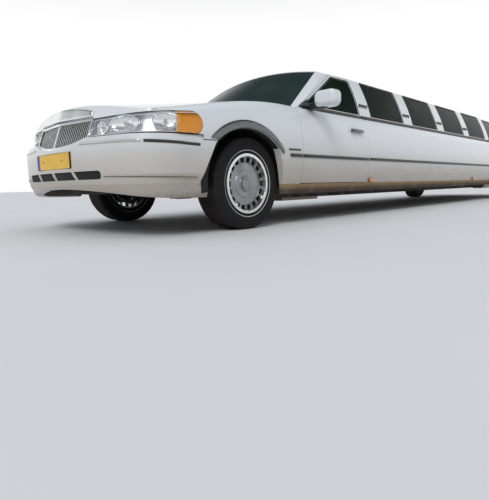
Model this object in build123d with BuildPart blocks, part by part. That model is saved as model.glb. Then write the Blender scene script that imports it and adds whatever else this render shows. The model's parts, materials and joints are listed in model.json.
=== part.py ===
from build123d import *
import os
from math import cos, radians, sin, sqrt, tan

os.makedirs("parts", exist_ok=True)

# Stretch limousine at its real size, in millimetres.
# The car faces -Y, its left side is +X and its tyres stand on Z = 0.

# Overall sizes
wheelbase = 7090
front_overhang = 1045
rear_overhang = 1435
body_half_width = 993
widest_height = 560
underside_height = 250
rocker_height = 330
belt_height = 950
rail_height = 1350
roof_height = 1450
panel_gap = 5
seat_gap = 0.3
side_wall = 100
frame_wall = 30
panel_wall = 35
glass_setback = 4
glass_wall = 5
glass_inset = glass_setback + glass_wall

# Wheels and steering
tyre_radius = 338
tyre_width = 225
bead_radius = 208
flange_radius = 220
rim_width = 200
front_track = 1610
rear_track = 1659
kingpin_x = 720
pin_clearance = 0.3
spindle_radius = 30

# Places along the car
car_length = front_overhang + wheelbase + rear_overhang
front_axle = front_overhang - car_length / 2
rear_axle = front_axle + wheelbase
nose_end = front_axle - front_overhang
tail_end = rear_axle + rear_overhang
front_door_start = front_axle + 577
front_door_end = front_axle + 1655
rear_door_start = rear_axle - 1330
rear_door_end = rear_axle - 460
firewall_start = front_axle + 430
bulkhead_start = rear_axle + 60

# Lower body sections
# Columns: place, widest half width, shoulder half width and height, edge half width and height, and
# crown height
shoulder_row = (body_half_width, 958, 860)
front_rows = (
    (nose_end - 55, 950, 915, 700, 790, 765, 868),
    (front_axle - 600, 964, 928, 775, 820, 838, 925),
    (front_axle - 200, 980, 945, 845, 850, 904, 962),
    (front_door_start, *shoulder_row, 895, 950, 1003),
)
side_row = (*shoulder_row, 908, belt_height, 1003)
rear_rows = (
    (rear_door_end, *shoulder_row, 895, 950, 1003),
    (rear_axle + 400, 986, 950, 855, 870, 935, 995),
    (tail_end + 55, 962, 922, 800, 830, 885, 940),
)
sill_inset = 63

# Greenhouse sections
# Columns: place, belt half width, rail half width and height, roof edge half width and height, roof height
cabin_row = (905, 742, rail_height, 640, 1392, roof_height)
cabin_rows = (
    (front_axle + 150, 855, 694, 1320, 598, 1362, 1412),
    (front_door_end, *cabin_row),
    (rear_door_start, *cabin_row),
    (rear_axle + 900, 845, 684, 1315, 588, 1356, 1406),
)
glass_bulge = 15

# Plan of the nose and the tail: half width, then distance from the end of the car
nose_shoulder = (700, 95)
nose_corner = (955, 425)
tail_shoulder = (720, 75)
tail_corner = (950, 380)
end_side_run = 650
end_side_flare = 10
nose_lean = 20
tail_lean = 8
lean_height = 545

# Windscreen and rear window: foot on the centre line, slope, sideways curve
screen_foot = (front_axle + 450, 985)
screen_slope = 30.8
screen_radius = 3000
backlight_foot = (rear_axle + 470, 985)
backlight_slope = 33
backlight_radius = 1800
screen_reach = 1500

# Share of a wall's thickness that a section's corners move in and down, and that the nose's corner
# moves in and back
shoulder_share = (0.97, 0.25)
edge_share = (0.55, 0.85)
rail_share = (0.87, 0.5)
roof_share = (0.13, 0.99)
nose_share = (0.27, 0.96)

# How far the cutting blocks reach past the skin: to each side, up and beyond the ends
past_side = 1100
past_floor = 1000
past_deck = 1010
past_end = 100


def body_face(row, inset):
    """Cross-section of the lower body with its walls moved in, from lines and tangent arcs."""
    place, wide, shoulder_x, shoulder_z, edge_x, edge_z, crown = row
    bottom = (wide - sill_inset - inset, underside_height)
    middle = (wide - inset, widest_height)
    shoulder = (shoulder_x - shoulder_share[0] * inset, shoulder_z - shoulder_share[1] * inset)
    edge = (edge_x - edge_share[0] * inset, edge_z - edge_share[1] * inset)
    top = (0, crown - inset)
    with BuildSketch(Plane.XZ.offset(-place)) as section:
        with BuildLine():
            Line((0, underside_height), bottom)
            TangentArc(middle, bottom, tangent=(0, -1))
            side = TangentArc(middle, shoulder, tangent=(0, 1))
            TangentArc(shoulder, edge, tangent=side % 1)
            TangentArc(top, edge, tangent=(1, 0))
            mirror(about=Plane.YZ)
        make_face()
    return section.sketch.face()


def cabin_face(row, inset):
    """Cross-section of the greenhouse with its walls moved in."""
    place, belt_x, rail_x, rail_z, edge_x, edge_z, crown = row
    belt = (belt_x - inset, belt_height)
    foot = (belt_x - inset, belt_height - side_wall)
    rail = (rail_x - rail_share[0] * inset, rail_z - rail_share[1] * inset)
    edge = (edge_x - roof_share[0] * inset, edge_z - roof_share[1] * inset)
    with BuildSketch(Plane.XZ.offset(-place)) as section:
        with BuildLine():
            Polyline((0, foot[1]), foot, belt)
            SagittaArc(belt, rail, -glass_bulge)
            roof_arc = TangentArc((0, crown - inset), edge, tangent=(1, 0))
            TangentArc(edge, rail, tangent=roof_arc % 1)
            mirror(about=Plane.YZ)
        make_face()
    return section.sketch.face()


def half_path(end, toward, shoulder, corner, inset):
    """Plan of one end of the car, from the centre line round the left corner to the side."""
    start = (0, end + toward * inset)
    turn = (shoulder[0] - nose_share[0] * inset, end + toward * (shoulder[1] + nose_share[1] * inset))
    flank = (corner[0] - inset, end + toward * corner[1])
    with BuildLine() as path:
        front = TangentArc(start, turn, tangent=(1, 0))
        TangentArc(turn, flank, tangent=front % 1)
        side_end = (body_half_width + end_side_flare - inset, end + toward * (corner[1] + end_side_run))
        Line(flank, side_end)
    return path.line


def nose_path(inset):
    return half_path(nose_end, 1, nose_shoulder, nose_corner, inset)


def tail_path(inset):
    return half_path(tail_end, -1, tail_shoulder, tail_corner, inset)


def end_band(path, end, toward, outline):
    """A band round one end of the car: an outline of (depth, height) pairs carried along its plan."""
    with BuildPart() as band:
        with BuildSketch(Plane.YZ):
            with BuildLine():
                Polyline([(end + toward * depth, height) for depth, height in outline], close=True)
            make_face()
        sweep(path=path)
        mirror(about=Plane.YZ)
    return band.part


def nose_band(*outline):
    return end_band(nose_path(0), nose_end, 1, outline)


def tail_band(*outline):
    return end_band(tail_path(0), tail_end, -1, outline)


def side_block(outline, inner_x, outer_x):
    """A block with its outline in the side view, as (y, z) pairs."""
    with BuildPart() as block:
        with BuildSketch(Plane.YZ.offset(inner_x)):
            with BuildLine():
                Polyline(outline, close=True)
            make_face()
        extrude(amount=outer_x - inner_x)
    return block.part


def window_block(outline):
    """The hole of a side window, with rounded corners."""
    with BuildPart() as block:
        with BuildSketch(Plane.YZ.offset(cut_inner_x)):
            with BuildLine():
                FilletPolyline(*outline, radius=window_corner, close=True)
            make_face()
        extrude(amount=cut_outer_x - cut_inner_x)
    return block.part


def plan_block(outline, low_z, high_z):
    """A block with its outline in the plan, as (x, y) pairs."""
    with BuildPart() as block:
        with BuildSketch(Plane.XY.offset(low_z)):
            with BuildLine():
                Polyline(outline, close=True)
            make_face()
        extrude(amount=high_z - low_z)
    return block.part


def block_between(low, high):
    """A plain block from its lowest corner to its highest."""
    with BuildPart() as block:
        with Locations(low):
            Box(high[0] - low[0], high[1] - low[1], high[2] - low[2], align=(Align.MIN,) * 3)
    return block.part


def both_sides(part):
    """A left-hand piece and its mirror image."""
    with BuildPart() as pair:
        add(part)
        mirror(about=Plane.YZ)
    return pair.part


def cross_rod(y, z, x_low, x_high, radius):
    """A round bar across the car."""
    with BuildPart() as rod:
        with BuildSketch(Plane.YZ.offset(x_low)):
            with Locations((y, z)):
                Circle(radius)
        extrude(amount=x_high - x_low)
    return rod.part


def leaning_plan(path, far_y, toward, lean):
    """Everything behind a leaning nose or ahead of a leaning tail."""
    with BuildPart() as prism:
        with BuildSketch(Plane.XY.offset(lean_height)):
            with BuildLine():
                add(path)
                side_end = path @ 1
                far_x = 2 * body_half_width
                Polyline(side_end, (far_x, side_end.Y), (far_x, far_y), (0, far_y))
                mirror(about=Plane.YZ)
            make_face()
        extrude(amount=lean_height, both=True, dir=(0, toward * sin(radians(lean)), cos(radians(lean))))
    return prism.part


def lower_body(inset):
    """The whole lower body, with its leaning nose and tail and every wall moved in."""
    nose = leaning_plan(nose_path(inset), tail_end + end_side_run, 1, nose_lean)
    tail = leaning_plan(tail_path(inset), nose_end - end_side_run, -1, tail_lean)
    with BuildPart() as body:
        loft([body_face(row, inset) for row in front_rows])
        extrude(body_face((rear_door_end, *side_row), inset), amount=rear_door_end - front_door_start)
        loft([body_face(row, inset) for row in rear_rows])
        add(nose, mode=Mode.INTERSECT)
        add(tail, mode=Mode.INTERSECT)
    return body.part


def outside_screen(foot, slope, radius, toward, inset):
    """What lies outside a sloping window that curves from side to side."""
    along = Vector(0, toward * cos(radians(slope)), sin(radians(slope)))
    plane = Plane(origin=(0, *foot), x_dir=(1, 0, 0), z_dir=along)
    with BuildPart() as cutter:
        with BuildSketch(plane):
            with Locations((0, -toward * screen_reach / 4)):
                Rectangle(2 * body_half_width, screen_reach)
            with Locations((0, toward * radius)):
                Circle(radius - inset, mode=Mode.SUBTRACT)
        extrude(amount=screen_reach, both=True)
    return cutter.part


def cabin(inset):
    """The greenhouse, with its sloping ends and every wall moved in."""
    windscreen = outside_screen(screen_foot, screen_slope, screen_radius, 1, inset)
    backlight = outside_screen(backlight_foot, backlight_slope, backlight_radius, -1, inset)
    with BuildPart() as greenhouse:
        loft([cabin_face(row, inset) for row in cabin_rows], ruled=True)
        add(windscreen, mode=Mode.SUBTRACT)
        add(backlight, mode=Mode.SUBTRACT)
    return greenhouse.part


# Door and window outlines in the side view, as they show on the skin: (y, z) pairs
door_bottom = rocker_height + panel_gap
door_top = rail_height - panel_gap
door_slant = 30
door_elbow_height = belt_height - 20
pillar_foot = (front_axle + 640, belt_height)
pillar_head = (front_axle + 1343, door_top)
front_door_top_end = front_door_end + 25
rear_door_top_end = rear_axle - 370
rear_door_belt_end = rear_axle - 230
rear_door_elbow = (rear_axle - 275, 800)
rear_door_knee = (rear_door_end, 480)
window_low = belt_height + 12
window_high = 1318
window_corner = 18
front_window = (
    (front_axle + 830, window_low),
    (front_axle + 830, window_low + 66),
    (front_axle + 1300, window_high - 28),
    (front_axle + 1350, window_high),
    (front_door_end - 20, window_high),
    (front_door_end - 25, window_low),
)
rear_window_outline = (
    (rear_door_start + 195, window_low),
    (rear_door_start + 200, window_high),
    (rear_axle - 440, window_high),
    (rear_axle - 330, window_low),
)
stretch_windows = 4
stretch_pillar = 265
stretch_start = front_door_end + 225
stretch_pitch = (rear_door_start - 65 - stretch_start + stretch_pillar) / stretch_windows
stretch_window_high = 1338
skin_belt_x = cabin_row[0]
skin_rail_x = cabin_row[1]
cut_outer_x = 1010
cut_inner_x = 540
skin_tuck = 50


def skin_x(z):
    """Half width of the side's skin at a height, for placing slanted edges."""
    if z <= belt_height:
        return body_half_width - skin_tuck
    share = (z - belt_height) / (rail_height - belt_height)
    return skin_belt_x + share * (skin_rail_x - skin_belt_x)


def door_prism(front_edge, rear_edge, grow):
    """Space of a door on the left: its rear edge slants so that the door swings clear."""
    slope = tan(radians(door_slant))
    back = grow / cos(radians(door_slant))
    with BuildPart() as prism:
        for x in (cut_outer_x, cut_inner_x):
            rear = [(y + slope * (x - skin_x(z)) + back, z) for y, z in rear_edge]
            front = [(y - grow, z) for y, z in front_edge]
            with BuildSketch(Plane.YZ.offset(x)):
                with BuildLine():
                    Polyline(front + rear, close=True)
                make_face()
        loft(ruled=True)
    return prism.part


def front_door_space(grow):
    low, high = door_bottom - grow, door_top + grow
    front = [
        (front_door_start, low),
        (front_door_start, door_elbow_height),
        pillar_foot,
        (pillar_head[0], high),
    ]
    rear = [(front_door_top_end, high), (front_door_end, belt_height), (front_door_end, low)]
    return door_prism(front, rear, grow)


def rear_door_space(grow):
    low, high = door_bottom - grow, door_top + grow
    front = [(rear_door_start, low), (rear_door_start, high)]
    rear = [
        (rear_door_top_end, high),
        (rear_door_belt_end, belt_height),
        rear_door_elbow,
        rear_door_knee,
        (rear_door_end, low),
    ]
    return door_prism(front, rear, grow)


def stretch_window(number):
    start = stretch_start + number * stretch_pitch
    end = start + stretch_pitch - stretch_pillar
    high = stretch_window_high
    return ((start, window_low), (start, high), (end, high), (end, window_low))


# Shells that several pieces are cut from
outer_body = lower_body(0)
body_core = lower_body(side_wall)
lens_outer = lower_body(glass_setback)
lens_inner = lower_body(glass_inset)
side_shell = outer_body - body_core
lid_shell = outer_body - lower_body(panel_wall)
glass_outer = cabin(glass_setback)
cabin_outer = cabin(0)
cabin_core = cabin(frame_wall)
cabin_shell = cabin_outer - cabin_core
glass_shell = glass_outer - cabin(glass_inset)
belt_shelf_x = 805

front_door_cut = front_door_space(panel_gap)
rear_door_cut = rear_door_space(panel_gap)
front_window_cut = window_block(front_window)
rear_window_cut = window_block(rear_window_outline)
stretch_cuts = [window_block(stretch_window(number)) for number in range(stretch_windows)]

# Wheel arches and wheel houses
# The front arch is three arcs, from the bumper's rear edge over the wheel to the rocker: (y, z) points
front_arch = (
    (front_axle - 562, underside_height),
    (front_axle - 455, 450),
    (front_axle - 369, 612),
    (front_axle - 70, 727),
    (front_axle + 270, 600),
    (front_axle + 310, 480),
    (front_axle + 336, underside_height),
)
arch_corner = 150
rear_arch_height = 335
rear_arch_radius = 392
front_house_radius = 425
front_house_inner_x = 450
front_house_outer_x = 932
rear_house_inner_x = 640
with BuildPart() as front_arch_cut:
    with BuildSketch(Plane.YZ.offset(front_house_outer_x - 1)) as arch_face:
        with BuildLine():
            for start, middle, end in zip(front_arch[0::2], front_arch[1::2], front_arch[2::2]):
                ThreePointArc(start, middle, end)
            Polyline(front_arch[-1], (front_arch[-1][0], 0), (front_arch[0][0], 0), front_arch[0])
        make_face()
        fillet(arch_face.vertices().sort_by(Axis.Y)[-2:], arch_corner)
    extrude(amount=cut_outer_x - front_house_outer_x)
arch_cuts = (
    front_arch_cut.part,
    cross_rod(rear_axle, rear_arch_height, rear_house_inner_x, cut_outer_x, rear_arch_radius),
    cross_rod(front_axle, tyre_radius, front_house_inner_x, front_house_outer_x, front_house_radius),
)

# Grille and headlamps in the nose, with a round end to each lamp
bumper_top = 655
grille_half = 392
grille_low = 597
grille_corner = 660
grille_high = 785
grille_reach = 500
lamp_inner_x = grille_half + panel_gap
lamp_low = 663
lamp_middle = 742
lamp_high = 800
lamp_front_high = 763
lamp_rear = front_axle - 467
lamp_round = 78


def grille_space(grow):
    """The grille's place in the nose, moved out by a distance: its bottom is an arc."""
    half = grille_half + grow
    high = grille_high + grow
    corners = ((-half, grille_corner), (-half, high), (half, high), (half, grille_corner))
    with BuildPart() as space:
        with BuildSketch(Plane.XZ.offset(-nose_end + panel_gap + past_end)):
            with BuildLine():
                Polyline(*corners)
                ThreePointArc(corners[-1], (0, grille_low - grow), corners[0])
            make_face()
        extrude(amount=-grille_reach)
    return space.part


def lamp_space(grow):
    """A left-hand headlamp's place, moved out by a distance."""
    front = nose_end - past_end
    round_y = lamp_rear - lamp_round
    inner_x = lamp_inner_x - grow
    top_end = (round_y, lamp_high + grow)
    low_end = (round_y, lamp_low - grow)
    with BuildPart() as space:
        with BuildSketch(Plane.YZ.offset(inner_x)):
            with BuildLine():
                Polyline(top_end, (front, lamp_front_high + grow), (front, lamp_low - grow), low_end)
                ThreePointArc(low_end, (lamp_rear + grow, lamp_middle), top_end)
            make_face()
        extrude(amount=cut_outer_x - inner_x)
    return space.part


# Lids
hood_low = lamp_low + panel_gap
hood_front_half = 838
hood_rear_half = 802
hood_rear = front_axle + 385
hood_bend = nose_end + 480
hood_plan = (
    (-hood_rear_half, hood_rear),
    (-hood_front_half, hood_bend),
    (-hood_front_half, nose_end - past_end),
    (hood_front_half, nose_end - past_end),
    (hood_front_half, hood_bend),
    (hood_rear_half, hood_rear),
)
trunk_half = 700
trunk_start = rear_axle + 545
trunk_low = 655
tail_lamp_low = 640
tail_lamp_high = 860


def hood_space(grow, low):
    outline = [(x + grow * (1 if x > 0 else -1), y + (grow if y == hood_rear else 0)) for x, y in hood_plan]
    return plan_block(outline, low, roof_height)


def trunk_space(grow):
    low = (-trunk_half - grow, trunk_start - grow, trunk_low - grow)
    return block_between(low, (trunk_half + grow, tail_end + past_end, roof_height))


bumper_shoulder = 625
bumper_step = front_axle - 470
bumper_end = front_axle - 300


def bumper_space(grow):
    """Space of the front bumper, which is lower behind the lamps and ends at the arch."""
    outline = (
        (nose_end - past_end, 0),
        (bumper_end + grow, 0),
        (bumper_end + grow, bumper_shoulder + grow),
        (bumper_step + grow, bumper_shoulder + grow),
        (bumper_step + grow, bumper_top + grow),
        (nose_end - past_end, bumper_top + grow),
    )
    return side_block(outline, -past_side, past_side)


rear_bumper_top = 620
rear_bumper_front = rear_axle + 430


def rear_bumper_space(grow):
    low = (-past_side, rear_bumper_front - grow, 0)
    return block_between(low, (past_side, tail_end + past_end, rear_bumper_top + grow))


def write(piece, name):
    """Label a finished piece and write it to its own file."""
    piece.part.label = name
    export_step(piece.part, f"parts/{name}.step")


sides = (("left", 1), ("right", -1))


def write_pair(piece, name):
    """Write a left-hand piece and its mirror image as two pieces."""
    for side, sign in sides:
        with BuildPart() as copy:
            if sign > 0:
                add(piece)
            else:
                mirror(piece, about=Plane.YZ)
        write(copy, f"{name}_{side}")


# Hinges: curved arms about each joint's axis, which slide in pockets of the body
arm_half = 6
arm_clearance = 0.3
door_arm_radius = 60
door_arm_height = 30
door_arm_levels = (430, 730)
door_arm_start = 172
door_arm_end = 235
lid_arm_radius = 85
lid_arm_width = 25
lid_arm_start = 263
lid_arm_end = 320
pocket_turn = 2
mirrored_turn = 540
lid_axis_height = 1005
hood_arm_x = 600
trunk_arm_x = 560
bracket_depth = 25
bracket_rise = 50


def hinge_arc(plane, centre, radius, start, end, width, grow):
    """A curved arm about an axis, between two directions in degrees."""
    turns = [radians(angle) for angle in sorted((start, (start + end) / 2, end))]
    reach = [(2 * radius * cos(turn), 2 * radius * sin(turn)) for turn in turns]
    with BuildPart() as arm:
        with BuildSketch(plane.offset(-grow)):
            with Locations(centre):
                Circle(radius + arm_half + grow)
                Circle(radius - arm_half - grow, mode=Mode.SUBTRACT)
                Polygon((0, 0), *reach, align=None, mode=Mode.INTERSECT)
        extrude(amount=width + 2 * grow)
    return arm.part


def door_arms(axis_y, grow):
    """The two hinge arms of a left-hand door."""
    with BuildPart() as arms:
        for level in door_arm_levels:
            plane = Plane.XY.offset(level)
            end = door_arm_end + (pocket_turn if grow else 0)
            centre = (body_half_width, axis_y)
            add(hinge_arc(plane, centre, door_arm_radius, door_arm_start, end, door_arm_height, grow))
    return arms.part


def lid_arms(inner_x, axis_y, toward, grow):
    """The two hinge arms of a lid, toward +Y or -Y from its edge."""
    start = lid_arm_start
    end = lid_arm_end + (pocket_turn if grow else 0)
    if toward < 0:
        start, end = mirrored_turn - start, mirrored_turn - end
    plane = Plane.YZ.offset(inner_x)
    arm = hinge_arc(plane, (axis_y, lid_axis_height), lid_arm_radius, start, end, lid_arm_width, grow)
    bracket_y = min(axis_y, axis_y - toward * bracket_depth)
    low = (inner_x, bracket_y, lid_axis_height - lid_arm_radius - arm_half)
    high = (inner_x + lid_arm_width, low[1] + bracket_depth, lid_axis_height - bracket_rise)
    bracket = block_between(low, high)
    return both_sides(arm if grow else arm + bracket)


# Doors: a thick lower shell, a thin window frame and a pull handle, with the glass in the frame
handle_length = 200
handle_height = 26
handle_reach = 28
handle_root = 20
handle_hole = 20
handle_end = 25
handle_z = 812
front_handle_y = front_door_end - 205
rear_handle_y = rear_door_end - 60
door_rows = (
    ("front", front_door_space(0), front_window_cut, front_handle_y, front_door_start),
    ("rear", rear_door_space(0), rear_window_cut, rear_handle_y, rear_door_start),
)
shelf_limit = block_between((belt_shelf_x, nose_end, 0), (cut_outer_x, tail_end, belt_height))
frame_limit = block_between((0, nose_end, belt_height), (cut_outer_x, tail_end, door_top))
handle_x = shoulder_row[1] + 10
handle_hole_x = handle_x - 4

for place, space, window, handle_y, axis_y in door_rows:
    with BuildPart() as lower:
        add(side_shell)
        add(shelf_limit, mode=Mode.INTERSECT)
        add(space, mode=Mode.INTERSECT)
    with BuildPart() as frame:
        add(cabin_shell)
        add(frame_limit, mode=Mode.INTERSECT)
        add(space, mode=Mode.INTERSECT)
        add(window, mode=Mode.SUBTRACT)
    with BuildPart() as handle:
        with BuildSketch(Plane.XY.offset(handle_z - handle_height / 2)):
            with Locations((handle_x + (handle_reach - handle_root) / 2, handle_y)):
                Rectangle(handle_reach + handle_root, handle_length)
            with Locations((handle_hole_x, handle_y)):
                Rectangle(handle_hole, handle_length - 2 * handle_end, mode=Mode.SUBTRACT)
        extrude(amount=handle_height)
    with BuildPart() as door:
        add(lower.part)
        add(frame.part)
        add(handle.part)
        add(door_arms(axis_y, 0))
    write_pair(door.part, f"door_{place}")
    with BuildPart() as glass:
        add(glass_shell)
        add(window, mode=Mode.INTERSECT)
    write_pair(glass.part, f"door_glass_{place}")

# Outside mirrors, on a foot in the front corner of the front door's window
mirror_centre = (1085, front_axle + 770, 1015)
mirror_size = (200, 110, 132)
mirror_round = 48
mirror_front_round = 40
mirror_foot_place = (870, mirror_centre[1] + 10, belt_height - 6)
mirror_foot_size = (200, 60, 30)
with BuildPart() as mirror_shell:
    with Locations(mirror_centre):
        Box(*mirror_size)
    fillet(mirror_shell.edges().filter_by(Axis.Y), mirror_round)
    fillet(mirror_shell.faces().sort_by(Axis.Y)[0].edges(), mirror_front_round)
    with Locations(mirror_foot_place):
        Box(*mirror_foot_size, align=(Align.MIN, Align.CENTER, Align.MIN))
    add(cabin_outer, mode=Mode.SUBTRACT)
    add(outer_body, mode=Mode.SUBTRACT)
write_pair(mirror_shell.part, "mirror")

# Stretched side between the doors, up to the belt
side_start = front_door_end - 100
side_limit = block_between(
    (belt_shelf_x, side_start, rocker_height), (cut_outer_x, rear_door_start - panel_gap, belt_height)
)
with BuildPart() as side_panel:
    add(side_shell)
    add(side_limit, mode=Mode.INTERSECT)
    add(front_door_cut, mode=Mode.SUBTRACT)
    add(door_arms(rear_door_start, arm_clearance), mode=Mode.SUBTRACT)
    mirror(about=Plane.YZ)
write(side_panel, "side_panels")

# Pillars from the belt to the rail, and the roof above it
screen_top = 875
screen_top_half = 645
screen_side_slope = 0.2256
screen_low_z = 975
screen_start = -200
backlight_top = 690
backlight_top_half = 560
backlight_side_slope = 0.23
backlight_low_z = 1000


def screen_opening(foot, slope, toward, top, top_half, side_slope, low_z):
    """The opening of a sloping window: a trapezium on its slope, level along the foot."""
    along = Vector(0, toward * cos(radians(slope)), sin(radians(slope)))
    normal = Vector(0, -toward * sin(radians(slope)), cos(radians(slope)))
    plane = Plane(origin=(0, *foot), x_dir=(1, 0, 0), z_dir=normal)
    foot_half = top_half + side_slope * (top - screen_start)
    with BuildPart() as opening:
        with BuildSketch(plane):
            with BuildLine():
                Polyline(
                    (-foot_half, toward * screen_start),
                    (-top_half, toward * top),
                    (top_half, toward * top),
                    (foot_half, toward * screen_start),
                    close=True,
                )
            make_face()
        extrude(amount=screen_reach / 3, both=True)
        split(bisect_by=Plane.XY.offset(low_z), keep=Keep.TOP)
    return opening.part


windscreen_opening = screen_opening(
    screen_foot, screen_slope, 1, screen_top, screen_top_half, screen_side_slope, screen_low_z
)
backlight_opening = screen_opening(
    backlight_foot,
    backlight_slope,
    -1,
    backlight_top,
    backlight_top_half,
    backlight_side_slope,
    backlight_low_z,
)
pillar_limit = block_between((-past_side, nose_end, belt_height), (past_side, tail_end, rail_height))
roof_limit = block_between((-past_side, nose_end, rail_height), (past_side, tail_end, roof_height + 1))
with BuildPart() as pillars:
    add(cabin_shell)
    add(pillar_limit, mode=Mode.INTERSECT)
    add(windscreen_opening, mode=Mode.SUBTRACT)
    add(backlight_opening, mode=Mode.SUBTRACT)
    for cut in (front_door_cut, rear_door_cut, *stretch_cuts):
        add(both_sides(cut), mode=Mode.SUBTRACT)
write(pillars, "pillars")

with BuildPart() as roof:
    add(cabin_shell)
    add(roof_limit, mode=Mode.INTERSECT)
    add(windscreen_opening, mode=Mode.SUBTRACT)
    add(backlight_opening, mode=Mode.SUBTRACT)
write(roof, "roof")

with BuildPart() as windscreen:
    add(glass_shell)
    add(windscreen_opening, mode=Mode.INTERSECT)
write(windscreen, "windscreen")

with BuildPart() as backlight:
    add(glass_shell)
    add(backlight_opening, mode=Mode.INTERSECT)
write(backlight, "rear_window")

with BuildPart() as side_windows:
    for cut in stretch_cuts:
        add(glass_shell & cut)
    mirror(about=Plane.YZ)
write(side_windows, "side_windows")

# Front fenders, from the lamps and the bumper to the front doors
fender_inner_x = 600
fender_start = nose_end + 300
fender_limit = block_between(
    (fender_inner_x, fender_start, rocker_height), (cut_outer_x, front_door_start - panel_gap, past_deck)
)
cabin_limit = block_between((-past_side, nose_end, belt_height), (past_side, tail_end, roof_height + 1))
cabin_space = cabin_outer & cabin_limit
cowl_space = block_between(
    (-hood_rear_half, hood_rear, belt_height / 2), (hood_rear_half, front_door_start, past_deck)
)
with BuildPart() as fender:
    add(side_shell)
    add(fender_limit, mode=Mode.INTERSECT)
    add(cabin_space, mode=Mode.SUBTRACT)
    add(cowl_space, mode=Mode.SUBTRACT)
    add(hood_space(panel_gap, lamp_low), mode=Mode.SUBTRACT)
    add(bumper_space(panel_gap), mode=Mode.SUBTRACT)
    add(lamp_space(panel_gap), mode=Mode.SUBTRACT)
    for cut in arch_cuts:
        add(cut, mode=Mode.SUBTRACT)
    add(door_arms(front_door_start, arm_clearance), mode=Mode.SUBTRACT)
    mirror(about=Plane.YZ)
write(fender, "front_fenders")

with BuildPart() as hood:
    add(lid_shell)
    add(hood_space(0, hood_low), mode=Mode.INTERSECT)
    add(both_sides(lamp_space(panel_gap)), mode=Mode.SUBTRACT)
    add(grille_space(panel_gap), mode=Mode.SUBTRACT)
    add(lid_arms(hood_arm_x, hood_rear, 1, 0))
write(hood, "hood")

with BuildPart() as trunk_lid:
    add(lid_shell)
    add(trunk_space(0), mode=Mode.INTERSECT)
    add(lid_arms(trunk_arm_x, trunk_start, -1, 0))
write(trunk_lid, "trunk_lid")

# Quarter panels, joined ahead of the trunk lid
quarter_start = rear_door_start + 400
quarter_limit = block_between((-past_side, quarter_start, rocker_height), (past_side, tail_end, past_deck))
quarter_core = block_between(
    (-hood_rear_half, rear_door_start, 0), (hood_rear_half, backlight_foot[0], past_deck)
)
tail_lamp_start = tail_end - 300
tail_lamp_space = block_between(
    (trunk_half - panel_gap, tail_lamp_start, tail_lamp_low),
    (past_side, tail_end + past_end, tail_lamp_high),
)
with BuildPart() as quarters:
    add(side_shell)
    add(quarter_limit, mode=Mode.INTERSECT)
    add(quarter_core, mode=Mode.SUBTRACT)
    add(cabin_space, mode=Mode.SUBTRACT)
    add(trunk_space(panel_gap), mode=Mode.SUBTRACT)
    add(rear_bumper_space(panel_gap), mode=Mode.SUBTRACT)
    for cut in (rear_door_cut, tail_lamp_space, *arch_cuts):
        add(both_sides(cut), mode=Mode.SUBTRACT)
    add(lid_arms(trunk_arm_x, trunk_start, -1, arm_clearance), mode=Mode.SUBTRACT)
write(quarters, "quarter_panels")

# Rockers between the wheels, below the doors
rocker_inner_x = 700
rocker_limit = block_between(
    (rocker_inner_x, front_axle, underside_height), (cut_outer_x, rear_axle, rocker_height)
)
with BuildPart() as rocker:
    add(outer_body)
    add(rocker_limit, mode=Mode.INTERSECT)
    for cut in arch_cuts:
        add(cut, mode=Mode.SUBTRACT)
    mirror(about=Plane.YZ)
write(rocker, "rockers")

# Front bumper: a hollow band round the nose with a slot of intakes and a flat for the plate
bumper_wall = 62
nose_profile = ((60, 250), (12, 350), (0, 410), (0, 570), (5, 620), (22, bumper_top))
nose_profile_inner = ((115, 250), (80, 350), (62, 410), (62, 570), (70, 620), (90, bumper_top))
plate_width = 520
plate_height = 112
plate_z = 520
plate_depth = 17
intake_low = 385
intake_high = 440
intake_half = 550
intake_rib = 24
intake_lean = 22
intake_depth = 150
intake_count = 4
intake_pitch = 2 * intake_half / intake_count
chin_half = 930
chin_rise = 75
chin_depth = 700
chin_ends = ((-chin_half, underside_height), (chin_half, underside_height))
with BuildPart() as chin:
    with BuildSketch(Plane.XZ.offset(-nose_end - chin_depth)):
        with BuildLine():
            ThreePointArc(chin_ends[0], (0, underside_height + chin_rise), chin_ends[1])
            Line(*chin_ends)
        make_face()
    extrude(amount=chin_depth + past_end)
intake_middle = (intake_low + intake_high) / 2
intake_rise = (intake_high - intake_low) / 2
rib_outline = (
    (-intake_rib / 2 + intake_lean, -intake_rise),
    (intake_rib / 2 + intake_lean, -intake_rise),
    (intake_rib / 2 - intake_lean, intake_rise),
    (-intake_rib / 2 - intake_lean, intake_rise),
)
with BuildPart() as intakes:
    with BuildSketch(Plane.XZ.offset(-nose_end - intake_depth)):
        with Locations((0, intake_middle)):
            SlotOverall(2 * intake_half, intake_high - intake_low)
            with GridLocations(intake_pitch, 1, intake_count - 1, 1):
                Polygon(*rib_outline, align=None, mode=Mode.SUBTRACT)
    extrude(amount=intake_depth + past_end)
with BuildPart() as front_bumper:
    add(nose_band(*nose_profile, *reversed(nose_profile_inner)))
    add(bumper_space(0), mode=Mode.INTERSECT)
    add(chin.part, mode=Mode.SUBTRACT)
    add(grille_space(seat_gap), mode=Mode.SUBTRACT)
    add(intakes.part, mode=Mode.SUBTRACT)
    for cut in arch_cuts:
        add(both_sides(cut), mode=Mode.SUBTRACT)
    with Locations((0, nose_end + plate_depth, plate_z)):
        Box(
            plate_width,
            bumper_wall,
            plate_height,
            align=(Align.CENTER, Align.MAX, Align.CENTER),
            mode=Mode.SUBTRACT,
        )
write(front_bumper, "front_bumper")

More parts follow.
